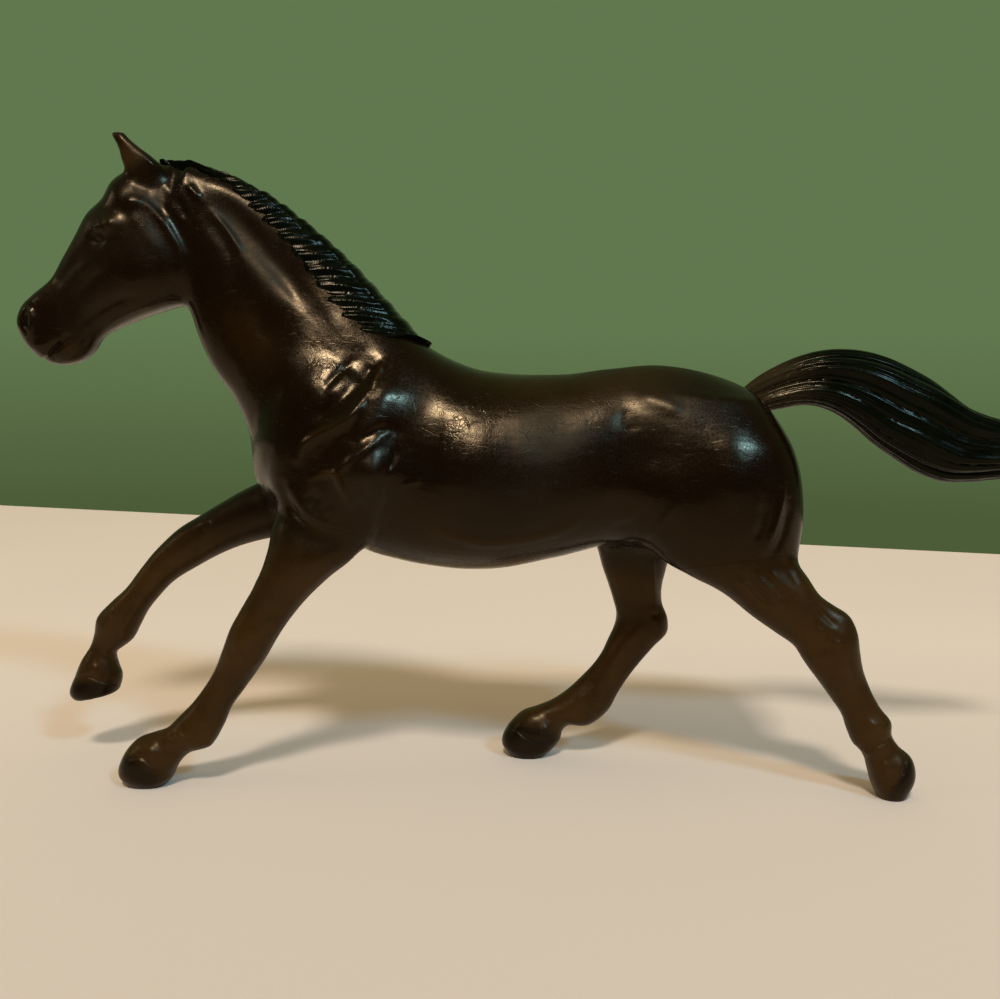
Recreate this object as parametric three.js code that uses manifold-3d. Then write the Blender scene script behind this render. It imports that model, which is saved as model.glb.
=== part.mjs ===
// Toy horse in a long, low canter: two hollow half bodies, four plugged legs, a mane strip and a
// plugged tail.
// Millimetres, +Z up. The horse faces -X, its left side is -Y, and three hooves stand on z = 0.

import * as THREE from "three";
import { mergeVertices } from "three/addons/utils/BufferGeometryUtils.js";
import Module from "manifold-3d";

const wasm = await Module();
wasm.setup();

// Overall sizes, which the outlines' shares go by: about nose to tail tip, ground to ear tips, and
// the widest place across the barrel
const figureLength = 168;
const figureHeight = 100;
const barrelWidth = 28;

// Mouldings: the hollow body's wall, and the gap that is kept wherever two pieces meet
const wallThickness = 2;
const jointGap = 0.3;

// Pins that line up the two halves
const pinRadius = 1.2;
const pinLength = 2.4;
const pinBossWall = 1.4;

// Pegs on the legs and the tail, and the sleeves that hold them
const legPegRadius = 2;
const legPegLength = 8;
const tailPegRadius = 1.5;
const tailPegLength = 8;
const sleeveWall = 1.3;

// Tongue of the mane strip, held between the halves
const tongueThickness = 1.6;
const tongueDepth = 2.2;
const tongueSides = 8;

// How far a cutting solid runs past what it cuts
const overrun = 5;

// Facets round a big section, a small section and a round peg
const bodySides = 18;
const limbSides = 14;
const pegSides = 16;

// A section is squarer than an ellipse by this exponent
const sectionFullnessShare = 0.88;

// How much narrower a section is at its first edge, and wider at its second: along the spine and the crest
const spineTaperShare = 0.12;
const crestTaperShare = 0.28;

// Every table below has one section in a row, as shares of the overall sizes: the x and z of the
// section's first edge, the x and z of its second edge, half its width, and the y of its middle.

// Rump to breast, top edge and bottom edge
const trunkShares = [
  [0.235, 0.484, 0.235, 0.440, 0.10],
  [0.231, 0.530, 0.233, 0.395, 0.24],
  [0.218, 0.568, 0.226, 0.366, 0.33],
  [0.190, 0.615, 0.202, 0.354, 0.39],
  [0.152, 0.643, 0.160, 0.358, 0.415],
  [0.105, 0.657, 0.110, 0.371, 0.425],
  [0.060, 0.652, 0.062, 0.375, 0.435],
  [0.012, 0.641, 0.010, 0.354, 0.465],
  [-0.040, 0.642, -0.045, 0.336, 0.50],
  [-0.090, 0.655, -0.100, 0.336, 0.48],
  [-0.135, 0.672, -0.150, 0.352, 0.43],
  [-0.180, 0.680, -0.190, 0.375, 0.38],
  [-0.225, 0.650, -0.230, 0.392, 0.32],
  [-0.258, 0.600, -0.258, 0.412, 0.24],
  [-0.274, 0.545, -0.273, 0.455, 0.13],
];

// Withers to poll, crest edge and throat edge; the mane strip stands on the crest
const neckShares = [
  [-0.060, 0.610, -0.245, 0.420, 0.34],
  [-0.092, 0.652, -0.276, 0.470, 0.36],
  [-0.120, 0.690, -0.283, 0.540, 0.34],
  [-0.150, 0.735, -0.296, 0.596, 0.29],
  [-0.182, 0.790, -0.311, 0.642, 0.245],
  [-0.217, 0.845, -0.325, 0.690, 0.215],
  [-0.252, 0.895, -0.333, 0.730, 0.195],
  [-0.290, 0.930, -0.342, 0.765, 0.185],
  [-0.330, 0.950, -0.355, 0.800, 0.165],
];

// Poll to lips, face edge and jaw edge
const headShares = [
  [-0.350, 0.947, -0.318, 0.915, 0.08],
  [-0.376, 0.951, -0.322, 0.856, 0.15],
  [-0.398, 0.946, -0.328, 0.795, 0.215],
  [-0.407, 0.920, -0.336, 0.748, 0.24],
  [-0.420, 0.886, -0.353, 0.735, 0.235],
  [-0.434, 0.850, -0.376, 0.723, 0.205],
  [-0.448, 0.816, -0.398, 0.709, 0.17],
  [-0.463, 0.782, -0.416, 0.695, 0.145],
  [-0.480, 0.752, -0.427, 0.679, 0.145],
  [-0.494, 0.727, -0.434, 0.660, 0.145],
  [-0.495, 0.704, -0.448, 0.649, 0.13],
  [-0.490, 0.682, -0.468, 0.650, 0.09],
];

// Left ear, base to tip, front edge and back edge
const earShares = [
  [-0.386, 0.925, -0.346, 0.935, 0.060, -0.085],
  [-0.391, 0.948, -0.354, 0.956, 0.064, -0.110],
  [-0.392, 0.967, -0.369, 0.973, 0.048, -0.125],
  [-0.395, 0.984, -0.382, 0.987, 0.028, -0.130],
  [-0.398, 0.999, -0.395, 1.000, 0.008, -0.130],
];

// Left shoulder and arm, withers to elbow, front edge and back edge
const shoulderShares = [
  [-0.205, 0.655, -0.140, 0.655, 0.09, -0.17],
  [-0.252, 0.595, -0.133, 0.595, 0.17, -0.21],
  [-0.264, 0.530, -0.138, 0.525, 0.205, -0.235],
  [-0.252, 0.465, -0.145, 0.455, 0.20, -0.25],
  [-0.232, 0.415, -0.158, 0.408, 0.14, -0.28],
  [-0.208, 0.388, -0.176, 0.386, 0.07, -0.28],
];

// Haunches, croup to stifle, front edge and back edge
const leftHaunchShares = [
  [0.090, 0.600, 0.185, 0.595, 0.10, -0.20],
  [0.066, 0.535, 0.218, 0.530, 0.19, -0.25],
  [0.070, 0.465, 0.230, 0.460, 0.215, -0.26],
  [0.086, 0.402, 0.230, 0.400, 0.205, -0.27],
  [0.108, 0.360, 0.224, 0.366, 0.165, -0.27],
  [0.138, 0.342, 0.208, 0.350, 0.10, -0.27],
];
const rightHaunchShares = [
  [0.085, 0.600, 0.180, 0.595, 0.10, 0.20],
  [0.048, 0.535, 0.212, 0.530, 0.19, 0.25],
  [0.040, 0.465, 0.208, 0.460, 0.215, 0.26],
  [0.042, 0.412, 0.185, 0.405, 0.205, 0.27],
  [0.050, 0.378, 0.155, 0.374, 0.165, 0.27],
  [0.062, 0.362, 0.128, 0.358, 0.10, 0.27],
];

// Legs, from inside the body to the sole, front edge and back edge
const leftForelegShares = [
  [-0.238, 0.450, -0.165, 0.440, 0.13, -0.25],
  [-0.250, 0.410, -0.164, 0.392, 0.155, -0.27],
  [-0.254, 0.372, -0.176, 0.362, 0.16, -0.29],
  [-0.261, 0.335, -0.198, 0.330, 0.145, -0.30],
  [-0.270, 0.302, -0.218, 0.297, 0.125, -0.30],
  [-0.280, 0.275, -0.234, 0.265, 0.11, -0.30],
  [-0.289, 0.248, -0.246, 0.236, 0.112, -0.30],
  [-0.296, 0.216, -0.257, 0.204, 0.105, -0.295],
  [-0.303, 0.187, -0.268, 0.176, 0.09, -0.29],
  [-0.312, 0.160, -0.279, 0.150, 0.078, -0.285],
  [-0.325, 0.130, -0.290, 0.124, 0.078, -0.28],
  [-0.338, 0.107, -0.298, 0.094, 0.09, -0.28],
  [-0.350, 0.088, -0.309, 0.064, 0.098, -0.28],
  [-0.362, 0.081, -0.328, 0.052, 0.09, -0.28],
  [-0.377, 0.071, -0.336, 0.040, 0.108, -0.28],
  [-0.390, 0.044, -0.341, 0.027, 0.126, -0.28],
  [-0.394, 0.018, -0.345, 0.012, 0.125, -0.28],
  [-0.386, 0.000, -0.352, 0.000, 0.095, -0.28],
];
const rightForelegShares = [
  [-0.225, 0.480, -0.220, 0.385, 0.15, 0.22],
  [-0.260, 0.472, -0.248, 0.375, 0.155, 0.24],
  [-0.288, 0.456, -0.275, 0.367, 0.15, 0.25],
  [-0.315, 0.430, -0.302, 0.354, 0.135, 0.26],
  [-0.339, 0.405, -0.325, 0.337, 0.12, 0.26],
  [-0.362, 0.381, -0.347, 0.315, 0.11, 0.26],
  [-0.383, 0.348, -0.366, 0.294, 0.10, 0.26],
  [-0.400, 0.313, -0.379, 0.272, 0.095, 0.26],
  [-0.414, 0.282, -0.392, 0.245, 0.10, 0.26],
  [-0.430, 0.257, -0.401, 0.218, 0.108, 0.26],
  [-0.443, 0.232, -0.408, 0.196, 0.10, 0.26],
  [-0.446, 0.206, -0.418, 0.182, 0.085, 0.26],
  [-0.450, 0.185, -0.425, 0.172, 0.08, 0.26],
  [-0.459, 0.160, -0.423, 0.150, 0.10, 0.26],
  [-0.465, 0.136, -0.420, 0.134, 0.112, 0.26],
  [-0.471, 0.104, -0.424, 0.108, 0.125, 0.26],
  [-0.466, 0.092, -0.428, 0.104, 0.11, 0.26],
];
const leftHindLegShares = [
  [0.140, 0.430, 0.212, 0.440, 0.13, -0.25],
  [0.108, 0.372, 0.220, 0.395, 0.155, -0.27],
  [0.127, 0.342, 0.225, 0.362, 0.16, -0.29],
  [0.160, 0.310, 0.235, 0.337, 0.15, -0.31],
  [0.184, 0.279, 0.245, 0.312, 0.13, -0.33],
  [0.206, 0.253, 0.258, 0.296, 0.112, -0.34],
  [0.223, 0.233, 0.271, 0.282, 0.108, -0.35],
  [0.231, 0.213, 0.279, 0.257, 0.112, -0.355],
  [0.237, 0.199, 0.282, 0.226, 0.105, -0.36],
  [0.247, 0.178, 0.286, 0.195, 0.09, -0.36],
  [0.258, 0.153, 0.293, 0.167, 0.08, -0.36],
  [0.268, 0.128, 0.303, 0.140, 0.082, -0.36],
  [0.273, 0.104, 0.313, 0.119, 0.095, -0.36],
  [0.279, 0.083, 0.314, 0.099, 0.09, -0.36],
  [0.289, 0.066, 0.320, 0.082, 0.09, -0.36],
  [0.293, 0.046, 0.333, 0.062, 0.108, -0.36],
  [0.298, 0.020, 0.336, 0.034, 0.118, -0.36],
  [0.304, 0.000, 0.328, 0.000, 0.09, -0.36],
];
const rightHindLegShares = [
  [0.062, 0.430, 0.130, 0.430, 0.13, 0.25],
  [0.052, 0.375, 0.128, 0.370, 0.155, 0.27],
  [0.056, 0.335, 0.121, 0.325, 0.15, 0.29],
  [0.063, 0.300, 0.117, 0.290, 0.135, 0.30],
  [0.069, 0.270, 0.118, 0.264, 0.115, 0.305],
  [0.073, 0.245, 0.124, 0.238, 0.11, 0.305],
  [0.071, 0.224, 0.124, 0.214, 0.112, 0.305],
  [0.065, 0.200, 0.111, 0.190, 0.10, 0.305],
  [0.059, 0.177, 0.099, 0.166, 0.085, 0.305],
  [0.050, 0.155, 0.087, 0.140, 0.08, 0.305],
  [0.038, 0.133, 0.076, 0.112, 0.082, 0.305],
  [0.025, 0.112, 0.065, 0.078, 0.095, 0.305],
  [0.010, 0.095, 0.046, 0.054, 0.095, 0.305],
  [-0.005, 0.084, 0.027, 0.054, 0.088, 0.305],
  [-0.021, 0.074, 0.021, 0.046, 0.105, 0.305],
  [-0.036, 0.046, 0.018, 0.028, 0.122, 0.305],
  [-0.040, 0.020, 0.011, 0.014, 0.122, 0.305],
  [-0.030, 0.000, 0.002, 0.000, 0.095, 0.305],
];

// Tail, root to tip, top edge and bottom edge
const tailShares = [
  [0.172, 0.606, 0.192, 0.578, 0.060],
  [0.190, 0.630, 0.208, 0.592, 0.075],
  [0.211, 0.655, 0.224, 0.597, 0.085],
  [0.235, 0.676, 0.241, 0.599, 0.10],
  [0.260, 0.687, 0.257, 0.594, 0.12],
  [0.289, 0.687, 0.275, 0.581, 0.135],
  [0.315, 0.676, 0.292, 0.561, 0.15],
  [0.339, 0.658, 0.309, 0.537, 0.155],
  [0.360, 0.638, 0.329, 0.515, 0.16],
  [0.378, 0.614, 0.350, 0.498, 0.155],
  [0.396, 0.594, 0.372, 0.485, 0.15],
  [0.417, 0.581, 0.396, 0.484, 0.13],
  [0.438, 0.572, 0.420, 0.488, 0.11],
  [0.460, 0.559, 0.446, 0.492, 0.085],
  [0.481, 0.540, 0.472, 0.496, 0.055],
  [0.497, 0.514, 0.493, 0.500, 0.018],
];

// Mane, withers to poll, crest edge and lower edge
const maneShares = [
  [-0.088, 0.655, -0.104, 0.652, 0.070],
  [-0.104, 0.672, -0.136, 0.660, 0.150],
  [-0.128, 0.710, -0.166, 0.678, 0.190],
  [-0.156, 0.762, -0.194, 0.722, 0.175],
  [-0.178, 0.801, -0.215, 0.762, 0.160],
  [-0.204, 0.842, -0.236, 0.802, 0.150],
  [-0.232, 0.880, -0.258, 0.836, 0.143],
  [-0.262, 0.915, -0.280, 0.870, 0.135],
  [-0.296, 0.942, -0.306, 0.898, 0.125],
  [-0.328, 0.960, -0.332, 0.918, 0.105],
  [-0.348, 0.963, -0.348, 0.930, 0.080],
  [-0.362, 0.958, -0.360, 0.940, 0.040],
];

// Where the pins across the halves stand, x and z
const pinPlaceShares = [
  [0.130, 0.560],
  [-0.060, 0.560],
  [-0.215, 0.600],
  [-0.255, 0.760],
];

// Each peg's seam end, inside its piece, and the point that it heads for in the body: x, y and z
const pegShares = {
  leftForeleg: { from: [-0.210, -0.275, 0.360], towards: [-0.195, -0.215, 0.470] },
  rightForeleg: { from: [-0.278, 0.245, 0.413], towards: [-0.200, 0.190, 0.450] },
  leftHindLeg: { from: [0.192, -0.300, 0.325], towards: [0.150, -0.220, 0.450] },
  rightHindLeg: { from: [0.088, 0.285, 0.330], towards: [0.100, 0.215, 0.450] },
  tail: { from: [0.212, 0, 0.614], towards: [0.150, 0, 0.565] },
};

// Materials
const brownPlastic = new THREE.MeshStandardMaterial({ color: 0x3a2410, roughness: 0.35, metalness: 0 });
const blackHair = new THREE.MeshStandardMaterial({ color: 0x0c0e0a, roughness: 0.25, metalness: 0 });

const acrossBody = new THREE.Vector3(0, 1, 0);

function placed([x, y, z]) {
  return new THREE.Vector3(x * figureLength, y * barrelWidth, z * figureHeight);
}

function mirrored(rows) {
  return rows.map(([firstX, firstZ, secondX, secondZ, half, middle]) =>
    [firstX, firstZ, secondX, secondZ, half, -middle]);
}

function power(value, exponent) {
  return Math.sign(value) * Math.abs(value) ** exponent;
}

// Points of one closed section, from its first edge round by +Y to its second edge and back
function sectionPoints(first, second, half, { sides, grow, taper }) {
  const middle = first.clone().add(second).divideScalar(2);
  const reach = first.clone().sub(second).divideScalar(2);
  reach.setLength(reach.length() + grow);
  const points = [];
  for (let side = 0; side < sides; side += 1) {
    const angle = (2 * Math.PI * side) / sides;
    const along = power(Math.cos(angle), sectionFullnessShare);
    const aside = power(Math.sin(angle), sectionFullnessShare) * (half * (1 - taper * along) + grow);
    points.push(middle.clone().addScaledVector(reach, along).addScaledVector(acrossBody, aside));
  }
  return points;
}

// A closed skin through the sections of a table, smoothed between its rows
function loftGeometry(rows, { sides = limbSides, steps = 1, grow = 0, taper = 0 } = {}) {
  const firsts = rows.map(([x, z, , , , y = 0]) => placed([x, y, z]));
  const seconds = rows.map(([, , x, z, , y = 0]) => placed([x, y, z]));
  const halves = rows.map(([, , , , half]) => new THREE.Vector3(half * barrelWidth, 0, 0));
  const [firstEdge, secondEdge, halfWidth] = [firsts, seconds, halves].map(
    (points) => new THREE.CatmullRomCurve3(points, false, "centripetal"));
  const spans = (rows.length - 1) * steps;
  const rings = [];
  for (let span = 0; span <= spans; span += 1) {
    const t = span / spans;
    const half = halfWidth.getPoint(t).x;
    rings.push(sectionPoints(firstEdge.getPoint(t), secondEdge.getPoint(t), half, { sides, grow, taper }));
  }
  pushOutwards(rings[0], rings[1], grow);
  pushOutwards(rings.at(-1), rings.at(-2), grow);
  return skinGeometry(rings);
}

function middleOf(points) {
  return points.reduce((sum, point) => sum.add(point), new THREE.Vector3()).divideScalar(points.length);
}

// Moves an end section away from its neighbour, so that a grown form is grown at its ends too
function pushOutwards(ring, neighbour, distance) {
  const step = middleOf(ring).sub(middleOf(neighbour)).normalize().multiplyScalar(distance);
  ring.forEach((point) => point.add(step));
}

// Joins rings of points into a closed mesh with a fan on each end, faces outwards
function skinGeometry(rings) {
  const sides = rings[0].length;
  const centres = [middleOf(rings[0]), middleOf(rings.at(-1))];
  const points = [...rings.flat(), ...centres];
  const triangles = [];
  for (let ring = 0; ring < rings.length - 1; ring += 1) {
    for (let side = 0; side < sides; side += 1) {
      const a = ring * sides + side;
      const b = ring * sides + (side + 1) % sides;
      triangles.push([a, b, b + sides], [a, b + sides, a + sides]);
    }
  }
  const lastRing = (rings.length - 1) * sides;
  const startCentre = points.length - 2;
  const endCentre = points.length - 1;
  for (let side = 0; side < sides; side += 1) {
    const next = (side + 1) % sides;
    triangles.push([startCentre, next, side], [endCentre, lastRing + side, lastRing + next]);
  }
  const travel = centres[1].clone().sub(centres[0]);
  const firstReach = rings[0][0].clone().sub(centres[0]);
  if (firstReach.cross(acrossBody).dot(travel) < 0) {
    triangles.forEach((triangle) => triangle.reverse());
  }
  const geometry = new THREE.BufferGeometry().setFromPoints(points);
  geometry.setIndex(triangles.flat());
  return geometry;
}

function solidOf(geometry) {
  const bare = geometry.clone();
  bare.deleteAttribute("normal");
  bare.deleteAttribute("uv");
  const merged = mergeVertices(bare);
  return new wasm.Manifold(new wasm.Mesh({
    numProp: 3,
    vertProperties: new Float32Array(merged.attributes.position.array),
    triVerts: new Uint32Array(merged.index.array),
  }));
}

function loft(rows, options) {
  return solidOf(loftGeometry(rows, options));
}

function joined(solids) {
  return solids.reduce((sum, solid) => sum.add(solid));
}

// A round bar from one point to another
function bar(from, to, radius) {
  const span = to.clone().sub(from);
  const geometry = new THREE.CylinderGeometry(radius, radius, span.length(), pegSides);
  geometry.applyQuaternion(new THREE.Quaternion().setFromUnitVectors(acrossBody, span.clone().normalize()));
  const middle = from.clone().add(to).divideScalar(2);
  geometry.translate(middle.x, middle.y, middle.z);
  return solidOf(geometry);
}

// Everything on one side of the middle plane, kept back by half the gap: side is -1 for left
function halfSpace(side) {
  const geometry = new THREE.BoxGeometry(figureLength + overrun * 2, barrelWidth, figureHeight + overrun * 2);
  geometry.translate(0, side * (barrelWidth + jointGap) / 2, figureHeight / 2);
  return solidOf(geometry);
}

// The whole outer form of the body, grown where it has to clear a neighbour
function bodyForm(grow = 0) {
  const big = { sides: bodySides, grow };
  const small = { grow };
  return joined([
    loft(trunkShares, { ...big, taper: spineTaperShare, steps: 2 }),
    loft(neckShares, { ...big, taper: crestTaperShare, steps: 2 }),
    loft(headShares, big),
    loft(shoulderShares, small),
    loft(mirrored(shoulderShares), small),
    loft(leftHaunchShares, small),
    loft(rightHaunchShares, small),
    loft(earShares, small),
    loft(mirrored(earShares), small),
  ]);
}

// The hollow in the trunk and the lower neck
function bodyHollow() {
  const inward = { sides: limbSides, grow: -wallThickness };
  const trunkHollow = loft(trunkShares.slice(2, -1), { ...inward, taper: spineTaperShare });
  return trunkHollow.add(loft(neckShares.slice(1, -2), { ...inward, taper: crestTaperShare }));
}

// A peg's seam end, its tip, and the tip of the hole that takes it
function pegLine({ from, towards }, length) {
  const start = placed(from);
  const direction = placed(towards).sub(start).normalize();
  return {
    start,
    tip: start.clone().addScaledVector(direction, length),
    holeTip: start.clone().addScaledVector(direction, length + jointGap),
    sleeveTip: start.clone().addScaledVector(direction, length + jointGap + sleeveWall),
  };
}

const pegs = [
  { ...pegLine(pegShares.leftForeleg, legPegLength), radius: legPegRadius },
  { ...pegLine(pegShares.rightForeleg, legPegLength), radius: legPegRadius },
  { ...pegLine(pegShares.leftHindLeg, legPegLength), radius: legPegRadius },
  { ...pegLine(pegShares.rightHindLeg, legPegLength), radius: legPegRadius },
  { ...pegLine(pegShares.tail, tailPegLength), radius: tailPegRadius },
];
const [leftForelegPeg, rightForelegPeg, leftHindLegPeg, rightHindLegPeg, tailPeg] = pegs;

function pegBar(peg) {
  return bar(peg.start, peg.tip, peg.radius);
}

// Mane tongue: a thin blade under the crest, deeper than the mane by its own depth
function tongue(grow) {
  const half = (tongueThickness / 2) / barrelWidth;
  const rows = maneShares.slice(1, -1).map(([crestX, crestZ, lowX, lowZ]) => {
    const crest = placed([crestX, 0, crestZ]);
    const low = placed([lowX, 0, lowZ]);
    const deep = low.clone().add(low.clone().sub(crest).setLength(tongueDepth));
    const topX = lowX + (crestX - lowX) / 2;
    const topZ = lowZ + (crestZ - lowZ) / 2;
    return [topX, topZ, deep.x / figureLength, deep.z / figureHeight, half];
  });
  return loft(rows, { sides: tongueSides, grow });
}

// One hollow half with its pin bosses and sleeves: side is -1 for left
function bodyShell(side) {
  const half = halfSpace(side);
  const outer = bodyForm().intersect(half);
  const reach = side * barrelWidth / 2;
  const bossRadius = pinRadius + jointGap + pinBossWall;
  let shell = outer.subtract(bodyHollow());
  for (const [x, z] of pinPlaceShares) {
    const middle = placed([x, 0, z]);
    const outside = middle.clone().setY(reach);
    shell = shell.add(bar(outside, middle, bossRadius).intersect(outer));
  }
  for (const peg of pegs) {
    const sleeve = bar(peg.start, peg.sleeveTip, peg.radius + jointGap + sleeveWall);
    shell = shell.add(sleeve.intersect(outer));
  }
  for (const peg of pegs) {
    shell = shell.subtract(bar(peg.start, peg.holeTip, peg.radius + jointGap));
  }
  shell = shell.subtract(tongue(jointGap));
  for (const [x, z] of pinPlaceShares) {
    const root = placed([x, 0, z]).setY(-pinRadius);
    const tip = root.clone().setY(pinLength);
    if (side < 0) {
      shell = shell.add(bar(root, tip, pinRadius));
    } else {
      shell = shell.subtract(bar(root, tip.setY(pinLength + jointGap), pinRadius + jointGap));
    }
  }
  return shell;
}

const clearance = bodyForm(jointGap);

function limb(rows, peg) {
  return loft(rows).subtract(clearance).add(pegBar(peg));
}

function meshOf(name, solid, material) {
  const { vertProperties, triVerts } = solid.getMesh();
  const shared = new THREE.BufferGeometry();
  shared.setAttribute("position", new THREE.BufferAttribute(vertProperties, 3));
  shared.setIndex(new THREE.BufferAttribute(triVerts, 1));
  const geometry = shared.toNonIndexed();
  geometry.computeVertexNormals();
  const mesh = new THREE.Mesh(geometry, material);
  mesh.name = name;
  return mesh;
}

const tail = loft(tailShares).subtract(clearance).add(pegBar(tailPeg));
const mane = loft(maneShares).subtract(clearance).add(tongue(0));

const horse = new THREE.Group();
horse.add(
  meshOf("left_body_shell", bodyShell(-1), brownPlastic),
  meshOf("right_body_shell", bodyShell(1), brownPlastic),
  meshOf("left_foreleg", limb(leftForelegShares, leftForelegPeg), brownPlastic),
  meshOf("right_foreleg", limb(rightForelegShares, rightForelegPeg), brownPlastic),
  meshOf("left_hind_leg", limb(leftHindLegShares, leftHindLegPeg), brownPlastic),
  meshOf("right_hind_leg", limb(rightHindLegShares, rightHindLegPeg), brownPlastic),
  meshOf("mane", mane, blackHair),
  meshOf("tail", tail, blackHair),
);

export default horse;
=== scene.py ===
import math

import bpy
import numpy as np
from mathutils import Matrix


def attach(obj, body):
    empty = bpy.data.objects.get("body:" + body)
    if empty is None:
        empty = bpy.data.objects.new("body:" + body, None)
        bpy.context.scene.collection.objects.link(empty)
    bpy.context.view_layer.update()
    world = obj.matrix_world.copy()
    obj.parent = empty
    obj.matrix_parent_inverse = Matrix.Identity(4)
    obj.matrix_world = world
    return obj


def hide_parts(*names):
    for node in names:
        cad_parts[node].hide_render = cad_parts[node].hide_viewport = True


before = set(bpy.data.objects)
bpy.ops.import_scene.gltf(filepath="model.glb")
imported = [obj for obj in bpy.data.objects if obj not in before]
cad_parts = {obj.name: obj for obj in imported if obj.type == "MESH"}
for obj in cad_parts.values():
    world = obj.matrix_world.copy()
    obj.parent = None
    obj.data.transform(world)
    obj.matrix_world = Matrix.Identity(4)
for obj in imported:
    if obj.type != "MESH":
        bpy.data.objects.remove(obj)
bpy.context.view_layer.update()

import openvdb
from mathutils import Matrix, Vector

# Metres, +Z up. The horse faces -X and its left side is -Y, towards the camera.

# Overall sizes that the outlines' shares go by
FIGURE_LENGTH = 0.168
FIGURE_HEIGHT = 0.100
BARREL_WIDTH = 0.028

# A section is squarer than an ellipse by this exponent, and narrower at its first edge by these shares
SECTION_FULLNESS_SHARE = 0.88
SPINE_TAPER_SHARE = 0.12
NECK_FULLNESS_SHARE = 0.72
HEAD_FULLNESS_SHARE = 0.74
MANE_FULLNESS_SHARE = 0.6

# The photograph's frame, its lens as a focal length in pixels, and where the camera stood
PHOTO_WIDTH = 1000
PHOTO_HEIGHT = 999
FOCAL_PIXELS = 1150
HORIZON_ROW = 390
CAMERA_PLACE = np.array([-0.0075, -0.182, 0.0616])
CAMERA_ROLL = math.radians(0.6)
SENSOR_WIDTH_MM = 36

# Modelling clay: cells of the grid, how far it is measured round each form, and fairing passes
CELL = 0.0003
BAND_CELLS = 14
BAND = CELL * BAND_CELLS
FAIRING_PASSES = 4

# Sides of a form's section and rings from one section to the next
FORM_SIDES = 72
FORM_STEPS = 8

# Fillet where the legs meet the body
LEG_FILLET = 0.002

# Hairline between two brown pieces, and the gap under the hair
SEAM = 0.00001
HAIR_GAP = 0.00003

# Cuts: how far a leg's piece reaches past its form, fairing passes of the cut, and when its edge is sharp
LEG_REACH = 0.0025
CUTTER_PASSES = 2
SHARP_ANGLE = math.radians(50)

# Strokes: the unit of their heights, how many widths they reach, points to a span, the share of their
# length over which their ends fade, and the share of their height that is left there
MM = 0.001
STROKE_REACH = 3
STROKE_STEPS = 5
STROKE_FADING_SHARE = 0.3
STROKE_END_SHARE = 0.25

# Strokes of the head narrower than this many pixels get finer faces: how many times as wide, and from
# what share of a stroke's middle
FINE_STROKE = 3.6
FINE_REACH = 2.2
FINE_LIMIT = 0.25

# Relief of the body fades in from this much of the surface's outward direction, over this much more
FADE_START = -0.35
FADE_SPAN = 0.5

# Over how far the relief and the colours of body and leg change into each other
LEG_BLEND = 0.0015
TINT_BLEND = 0.007

# Size, height and seed of each layer of unevenness
UNEVENNESS = [(0.009, 0.00010, 1), (0.0035, 0.00004, 2)]

# Every table below has one section in a row, as shares of the overall sizes: the x and z of the
# section's first edge, the x and z of its second edge, half its width, and the y of its middle, which is
# left out where it stays as it was: 0 at first.

# Rump to breast, top edge and bottom edge
TRUNK_SHARES = [
    (0.229, 0.484, 0.229, 0.44, 0.1),
    (0.225, 0.53, 0.227, 0.395, 0.24),
    (0.214, 0.568, 0.221, 0.366, 0.33),
    (0.19, 0.615, 0.202, 0.354, 0.39),
    (0.152, 0.643, 0.16, 0.358, 0.415),
    (0.105, 0.657, 0.11, 0.371, 0.425),
    (0.06, 0.652, 0.062, 0.375, 0.435),
    (0.012, 0.641, 0.01, 0.354, 0.465),
    (-0.04, 0.642, -0.045, 0.336, 0.5),
    (-0.09, 0.655, -0.1, 0.336, 0.48),
    (-0.135, 0.672, -0.15, 0.352, 0.43),
    (-0.18, 0.68, -0.19, 0.375, 0.38),
    (-0.225, 0.65, -0.228, 0.394, 0.32),
    (-0.252, 0.6, -0.254, 0.414, 0.24),
    (-0.267, 0.545, -0.267, 0.457, 0.13),
]

# Withers to poll, crest edge and throat edge
NECK_SHARES = [
    (-0.06, 0.61, -0.24, 0.425, 0.34),
    (-0.092, 0.652, -0.268, 0.475, 0.36),
    (-0.12, 0.69, -0.278, 0.545, 0.34),
    (-0.15, 0.735, -0.293, 0.6, 0.29),
    (-0.182, 0.79, -0.311, 0.642, 0.245),
    (-0.217, 0.845, -0.325, 0.69, 0.215),
    (-0.252, 0.895, -0.333, 0.73, 0.195),
    (-0.29, 0.933, -0.342, 0.765, 0.185),
    (-0.33, 0.955, -0.355, 0.8, 0.165),
]

# Poll to lips, face edge and jaw edge
HEAD_SHARES = [
    (-0.35, 0.957, -0.318, 0.915, 0.08),
    (-0.374, 0.952, -0.322, 0.856, 0.15),
    (-0.391, 0.944, -0.328, 0.795, 0.205),
    (-0.402, 0.93, -0.332, 0.768, 0.235),
    (-0.411, 0.903, -0.341, 0.745, 0.24),
    (-0.425, 0.88, -0.361, 0.732, 0.235),
    (-0.436, 0.85, -0.385, 0.718, 0.205),
    (-0.449, 0.816, -0.402, 0.706, 0.17),
    (-0.463, 0.78, -0.414, 0.696, 0.145),
    (-0.479, 0.757, -0.42, 0.686, 0.145),
    (-0.49, 0.738, -0.425, 0.672, 0.145),
    (-0.4945, 0.716, -0.437, 0.655, 0.135),
    (-0.49, 0.692, -0.453, 0.648, 0.11),
    (-0.4815, 0.669, -0.466, 0.651, 0.06),
]

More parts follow.
